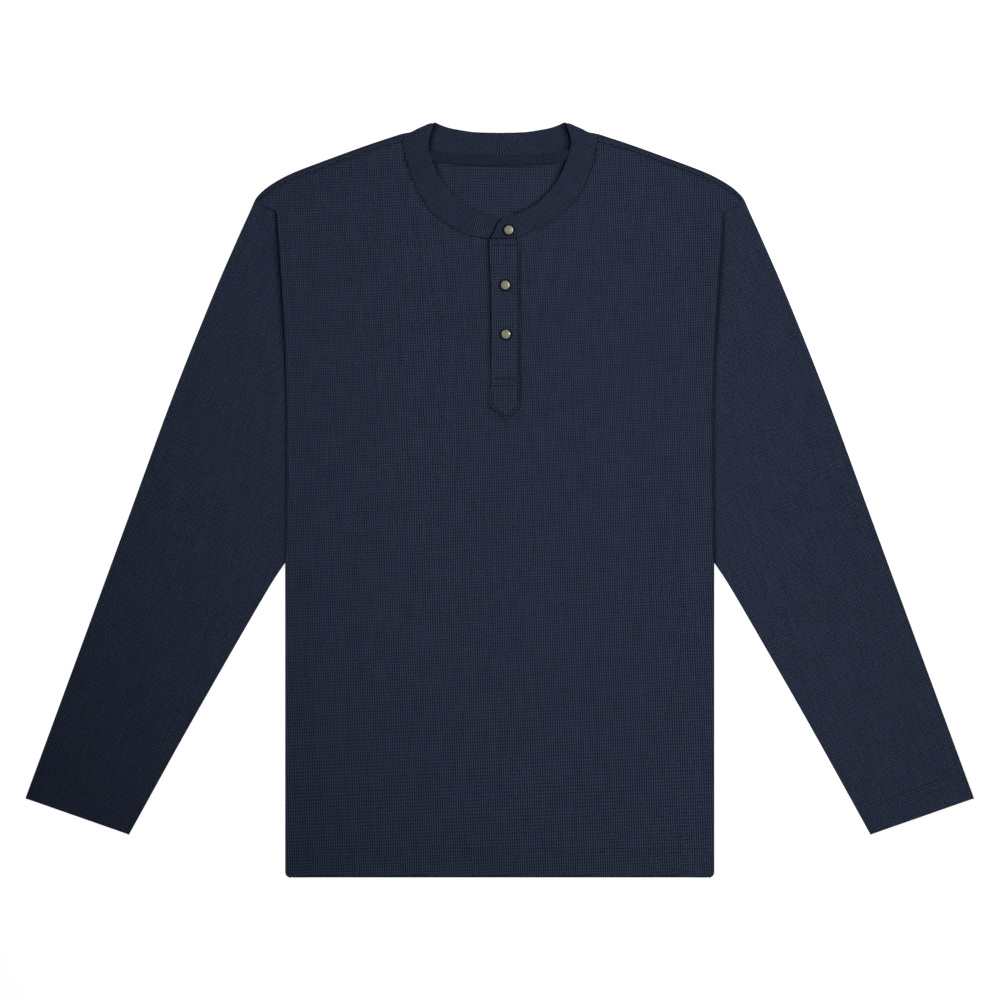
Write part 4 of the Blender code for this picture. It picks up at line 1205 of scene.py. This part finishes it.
def make_snaps(rim_metal, cap_pearl):
    models = {"rim": model_snap_rim(rim_metal), "cap": model_snap_cap(cap_pearl)}
    for name, x, y in SNAPS:
        seat = (COLLAR_END_TOP if name == "snap_1" else PLACKET_TOP) + GAP
        for part, model in models.items():
            made = model.copy()
            made.data = model.data.copy()
            made.name = made.data.name = f"{name}_{part}"
            bpy.context.scene.collection.objects.link(made)
            made.data.transform(Matrix.Translation((x * MM, y * MM, seat)))
            wear(made, name)
    for model in models.values():
        bpy.data.objects.remove(model)


# ---- stitches
def model_stitch():
    """One stitch of thread, along X, as its points and faces."""
    bpy.ops.object.select_all(action="DESELECT")
    bpy.ops.mesh.primitive_uv_sphere_add(segments=6, ring_count=4, radius=0.5)
    stitch = bpy.context.object
    bpy.ops.object.mode_set(mode="EDIT")
    bpy.ops.mesh.select_all(action="SELECT")
    bpy.ops.transform.rotate(value=math.pi / 2, orient_axis="Y", center_override=(0, 0, 0))
    bpy.ops.mesh.quads_convert_to_tris()
    bpy.ops.object.mode_set(mode="OBJECT")
    points = np.array([point.co[:] for point in stitch.data.vertices])
    faces = np.array([face.vertices[:] for face in stitch.data.polygons])
    bpy.data.objects.remove(stitch)
    return points, faces


def sew(name, lines, height, lift, finish, stitch):
    """Rows of stitches along lines in plan, lifted off the cloth whose height is given."""
    stitch_points, stitch_faces = stitch
    points, faces = [], []
    for line in lines:
        ends = even(line, max(2, int(round(along(line)[-1] / STITCH_LENGTH)) + 1))
        ends = np.column_stack((ends, height(ends[:, 0], ends[:, 1]) + lift))
        for start, end in zip(ends, ends[1:]):
            reach = np.linalg.norm(end - start)
            x_way = (end - start) / reach
            y_way = unit(np.cross((0, 0, 1), x_way))
            local = stitch_points * (reach * STITCH_SHARE, THREAD * 1.15, THREAD)
            place = local @ np.array((x_way, y_way, np.cross(x_way, y_way)))
            faces.append(stitch_faces + len(points) * len(stitch_points))
            points.append(place + (start + end) / 2)
    mesh = bpy.data.meshes.new(name)
    mesh.from_pydata(np.concatenate(points).tolist(), [], np.concatenate(faces).tolist())
    mesh.shade_smooth()
    made = link(name, mesh, finish)
    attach(made, "root")


def make_stitching(thread):
    """Every row of stitches that shows, each in its groove."""
    hem, seams, cuffs, placket = (
        [line for line, _ in grooves]
        for grooves in (hem_grooves(), seam_grooves(), cuff_grooves(), placket_grooves()))
    rows = [
        ("hem_stitches", hem, front_top, -STITCH_SINK),
        ("hem_stitches_back", hem, back_under, STITCH_SINK),
        ("shoulder_stitches_front", seams[:2], front_top, -STITCH_SINK),
        ("neck_stitches", seams[2:], front_top, -STITCH_SINK),
    ]
    for side, label in ((1, "left"), (-1, "right")):
        lines = [line * (side, 1) for line in cuffs]
        rows.append((f"cuff_stitches_{label}", lines, sleeve_top, -STITCH_SINK))
        rows.append((f"cuff_stitches_{label}_under", lines, sleeve_under, STITCH_SINK))
    rows.append(("placket_stitches", placket, placket_top, -0.3 * MM))
    tape = back_neck_line(TAPE_HALF_LENGTH - 1 * MM)
    for label, offset, under in (("upper", TAPE_STITCH, BAND_WALL), ("lower", -TAPE_STITCH, BACK_WALL)):
        top = level(under + GAP + TAPE_WALL)
        rows.append((f"tape_stitches_{label}", [shifted(tape, offset)], top, -0.15 * MM))
    stitch = model_stitch()
    for name, lines, height, lift in rows:
        sew(name, lines, height, lift, thread, stitch)


# ---- finishes
class Value:
    """A number that changes over a surface, with arithmetic."""

    def __init__(self, finish, socket):
        self.finish = finish
        self.socket = socket

    def math(self, operation, *values):
        node = self.finish.tree.nodes.new("ShaderNodeMath")
        node.operation = operation
        for socket, value in zip(node.inputs, values):
            self.finish.join(socket, value)
        return Value(self.finish, node.outputs[0])

    def __add__(self, other):
        return self.math("ADD", self, other)

    def __sub__(self, other):
        return self.math("SUBTRACT", self, other)

    def __rsub__(self, other):
        return self.math("SUBTRACT", other, self)

    def __mul__(self, other):
        return self.math("MULTIPLY", self, other)

    __radd__ = __add__
    __rmul__ = __mul__

    def wave(self, turns=1.0, operation="COSINE"):
        """A wave with this many turns for each unit of the value."""
        return self.math(operation, self * (turns * 2 * math.pi))


class Finish:
    """A material in the making, round its Principled shader."""

    def __init__(self, name):
        self.material = bpy.data.materials.new(name)
        self.material.use_nodes = True
        self.tree = self.material.node_tree
        self.shader = self.tree.nodes["Principled BSDF"]

    def join(self, socket, value):
        """Sets a socket to a number or a colour, or links a value to it."""
        if isinstance(value, Value):
            self.tree.links.new(value.socket, socket)
        else:
            socket.default_value = value

    def node(self, kind, settings, sockets, output=0):
        made = self.tree.nodes.new(kind)
        for name, value in settings.items():
            setattr(made, name, value)
        for name, value in sockets.items():
            self.join(made.inputs[name], value)
        return Value(self, made.outputs[output])

    def set(self, **values):
        for name, value in values.items():
            words = name.replace("_", " ").title().replace("Ior", "IOR")
            self.join(self.shader.inputs[words], value)

    def mix(self, share, low, high):
        """A mix of two colours."""
        return self.node("ShaderNodeMix", {"data_type": "RGBA"}, {0: share, 6: low, 7: high}, 2)

    def colour(self, ends, share):
        return self.mix(share, (*ends[0], 1.0), (*ends[1], 1.0))

    def noise(self, place, scale, detail=2.0, roughness=0.5):
        return self.node("ShaderNodeTexNoise", {}, {
            "Vector": place, "Scale": scale, "Detail": detail, "Roughness": roughness})

    def grain(self, place, *settings):
        """Noise that is as often below 0 as above it."""
        return self.noise(place, *settings) - 0.5

    def bump(self, height, distance, strength):
        return self.node("ShaderNodeBump", {}, {"Height": height, "Distance": distance, "Strength": strength})

    def attribute(self, name):
        return self.node("ShaderNodeAttribute", {"attribute_name": name}, {}, 2)

    def scaled(self, place, factors):
        return self.node("ShaderNodeVectorMath", {"operation": "MULTIPLY"}, {0: place, 1: factors})

    def part(self, place, axis):
        return self.node("ShaderNodeSeparateXYZ", {}, {0: place}, axis)

    def object_place(self):
        return self.node("ShaderNodeTexCoord", {}, {}, 3)

    def knit_place(self):
        """Where a point lies in the cloth: in cells, and in metres."""
        place = self.node("ShaderNodeUVMap", {"uv_map": "knit"}, {})
        return place, self.scaled(place, (WALE, COURSE, 1.0))

    def cloth(self, light, share, height, strength=0.8):
        """Matt cloth, its colour by a share, with painted shade mixed in where its shade attribute says so.
        """
        colour = self.colour((COLOUR_PIT, light), share)
        self.set(
            # painted shade: the shade attribute mixes the base colour towards the dark shade colour
            base_color=self.mix(self.attribute("shade"), colour, (*COLOUR_PAINTED_SHADE, 1.0)),
            roughness=0.95,
            sheen_weight=0.03,
            sheen_roughness=0.45,
            sheen_tint=(0.45, 0.6, 1.0, 1.0),
            specular_ior_level=0.08,
            normal=self.bump(height, 1.0 * MM, strength),
        )
        return self.material


def waffle_finish(name, contrast=1.0, unevenness=0.8):
    """Navy waffle knit, its colour darker in the cells and lighter on the ridges, most of all on the upright
    ones: painted shade and light of the knit.
    """
    finish = Finish(name)
    place, metres = finish.knit_place()
    across = finish.part(place, 0) + 0.45 * finish.grain(metres, 70.0, 1.0)
    lengthwise = finish.part(place, 1)
    upright, level_ridge = across.wave(), lengthwise.wave()
    patch = finish.noise(metres, 90.0, 1.0)
    mottle = finish.grain(metres, 80.0, 3.0)
    streaks = finish.grain(finish.scaled(metres, (1.0, 0.12, 1.0)), 260.0, 2.0)
    speckle = finish.grain(metres, 560.0, 1.0, 0.7)
    fuzz = finish.grain(metres, *FINE_FUZZ)
    place_share = 0.7 * finish.part(metres, 0) - 0.4 * finish.part(metres, 1) + 0.9
    # weave: painted shade in the cells and painted light on the ridges, over the shade of the modelled pits
    weave = upright * (1.1 * patch - 0.15) * place_share + level_ridge * (0.37 - 0.42 * patch)
    share = 0.5 + contrast * weave + 0.12 * mottle + 0.35 * streaks + unevenness * speckle + 0.35 * fuzz
    yarn_x, yarn_y = across.wave(4, "SINE"), lengthwise.wave(4, "SINE")
    raised = 0.14 * finish.attribute("plain") * (upright + level_ridge)
    height = raised + 0.05 * yarn_x + 0.04 * yarn_y + 0.14 * fuzz
    return finish.cloth(COLOUR_RIDGE, share, height, 0.9)


def rib_finish(name):
    """Navy 1x1 rib, with painted shade between the ribs."""
    finish = Finish(name)
    _, metres = finish.knit_place()
    valley = finish.part(metres, 0).wave(1 / RIB)
    row = finish.part(metres, 1).wave(1 / RIB_COURSE, "SINE")
    patch = finish.noise(metres, 80.0, 1.0)
    mottle = finish.grain(metres, 60.0, 3.0)
    speckle = finish.grain(metres, 420.0, 2.0, 0.7)
    fuzz = finish.grain(metres, *FINE_FUZZ)
    # painted shade: valley darkens the colour in the grooves between the ribs
    share = 0.41 - valley * (0.9 * patch - 0.1) + 0.3 * mottle + 1.0 * speckle + 0.35 * fuzz + 0.05 * row
    return finish.cloth(COLOUR_RIB, share, 0.12 * fuzz + 0.06 * row)


def tape_finish(name):
    """Smooth navy jersey."""
    finish = Finish(name)
    _, metres = finish.knit_place()
    wale, course = (finish.part(metres, axis).wave(1 / JERSEY, "SINE") for axis in (0, 1))
    fuzz = finish.grain(metres, *FINE_FUZZ)
    mottle = finish.grain(metres, 60.0, 3.0)
    speckle = finish.grain(metres, 420.0, 2.0, 0.7)
    share = 0.28 + 0.12 * wale + 0.05 * course + 0.4 * fuzz + 0.2 * mottle + 0.9 * speckle
    return finish.cloth(COLOUR_RIB, share, 0.06 * wale + 0.05 * course + 0.08 * fuzz)


def plain_finish(name, ends, noise, roughness, rougher=0.0, **values):
    """A finish whose colour follows a noise, and its roughness too where rougher says so."""
    finish = Finish(name)
    share = finish.noise(finish.object_place(), *noise)
    if rougher:
        roughness = roughness + rougher * share
    finish.set(base_color=finish.colour(ends, share), roughness=roughness, **values)
    return finish, share


def thread_finish(name):
    """Navy thread, twisted, a little smoother than the knit."""
    finish, twist = plain_finish(name, COLOUR_THREAD, (3000.0, 1.0), 0.85, specular_ior_level=0.1)
    finish.set(normal=finish.bump(twist, 0.1 * MM, 0.6))
    return finish.material


def rim_finish(name):
    """Gunmetal ring, dulled by wear."""
    return plain_finish(name, COLOUR_GUNMETAL, (1500.0, 3.0), 0.5, 0.2, specular_ior_level=0.08)[0].material


def pearl_finish(name):
    """Pale olive-grey pearl with a soft clouded figure."""
    return plain_finish(name, COLOUR_PEARL, (420.0, 3.0, 0.6), 0.3, 0.1,
                        coat_weight=0.5, coat_roughness=0.12)[0].material


def floor_finish(name):
    """Pale floor, lit from below like a light table."""
    return plain_finish(name, COLOUR_FLOOR, (40.0, 2.0), 0.9, specular_ior_level=0.1,
                        emission_color=(1.0, 1.0, 1.0, 1.0), emission_strength=FLOOR_GLOW)[0].material


# ---- studio
def make_camera():
    data = bpy.data.cameras.new("camera")
    data.type = "PERSP"
    data.sensor_width = 36
    data.lens = data.sensor_width * (CAMERA_HEIGHT - PANEL_TOP) / FRAME_WIDTH
    data.clip_end = 50
    camera = bpy.data.objects.new("camera", data)
    camera.location = (*FRAME_CENTRE, CAMERA_HEIGHT)
    bpy.context.scene.collection.objects.link(camera)
    bpy.context.scene.camera = camera


def make_studio():
    scene = bpy.context.scene
    scene.view_settings.view_transform = "Standard"
    world = bpy.data.worlds.new("studio")
    world.use_nodes = True
    background = world.node_tree.nodes["Background"]
    background.inputs["Color"].default_value = (1, 1, 1, 1)
    background.inputs["Strength"].default_value = WORLD_LIGHT
    scene.world = world
    for name, place, target, power, spread in LIGHTS:
        data = bpy.data.lights.new(name, "AREA")
        data.shape, data.size = "DISK", LIGHT_SIZE
        data.energy, data.spread = power, math.radians(spread)
        light = bpy.data.objects.new(name, data)
        light.location = place
        light.rotation_euler = (Vector(target) - Vector(place)).to_track_quat("-Z", "Y").to_euler()
        scene.collection.objects.link(light)
    bpy.ops.object.select_all(action="DESELECT")
    bpy.ops.mesh.primitive_plane_add(size=FLOOR_SIZE, location=(0, 0, -FLOOR_DROP))
    floor = bpy.context.object
    floor.name = "floor"
    bpy.ops.object.transform_apply(location=True, rotation=False, scale=False)
    floor.data.materials.append(floor_finish("floor_white"))


def wear(piece, node):
    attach(piece, "root")
    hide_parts(node)


def main():
    make_camera()
    make_studio()
    waffle = waffle_finish("navy_waffle")
    sleeve_waffle = waffle_finish("navy_waffle_sleeve", 0.5, 1.3)
    cloths = (
        (make_back(waffle), "back", (0.48, 0.735), 0.307, ()),
        (make_front(waffle), "front", (0.44, 0.725), 0.30, ("back",)),
        (make_sleeve("sleeve_left_cloth", 1, sleeve_waffle), "sleeve_left", (0.40, 0.63), 0.147, ()),
        (make_sleeve("sleeve_right_cloth", -1, sleeve_waffle), "sleeve_right", (0.40, 0.63), 0.147, ()),
        (make_collar(rib_finish("navy_rib")), "collar", (0.47, 0.027), None, ("back",)),
        (make_tape(tape_finish("navy_jersey")), "neck_tape", (0.138, 0.01), None, ("collar",)),
        (make_placket_under(waffle), "placket_under", (0.021, 0.142), None, ("back",)),
        (make_placket_upper(waffle), "placket_upper", (0.0305, 0.175), 0.005, ("front",)),
    )
    for piece, node, flat, area, rests_on in cloths:
        wear(piece, node)
    make_snaps(rim_finish("gunmetal"), pearl_finish("pearl"))
    make_stitching(thread_finish("navy_thread"))


main()
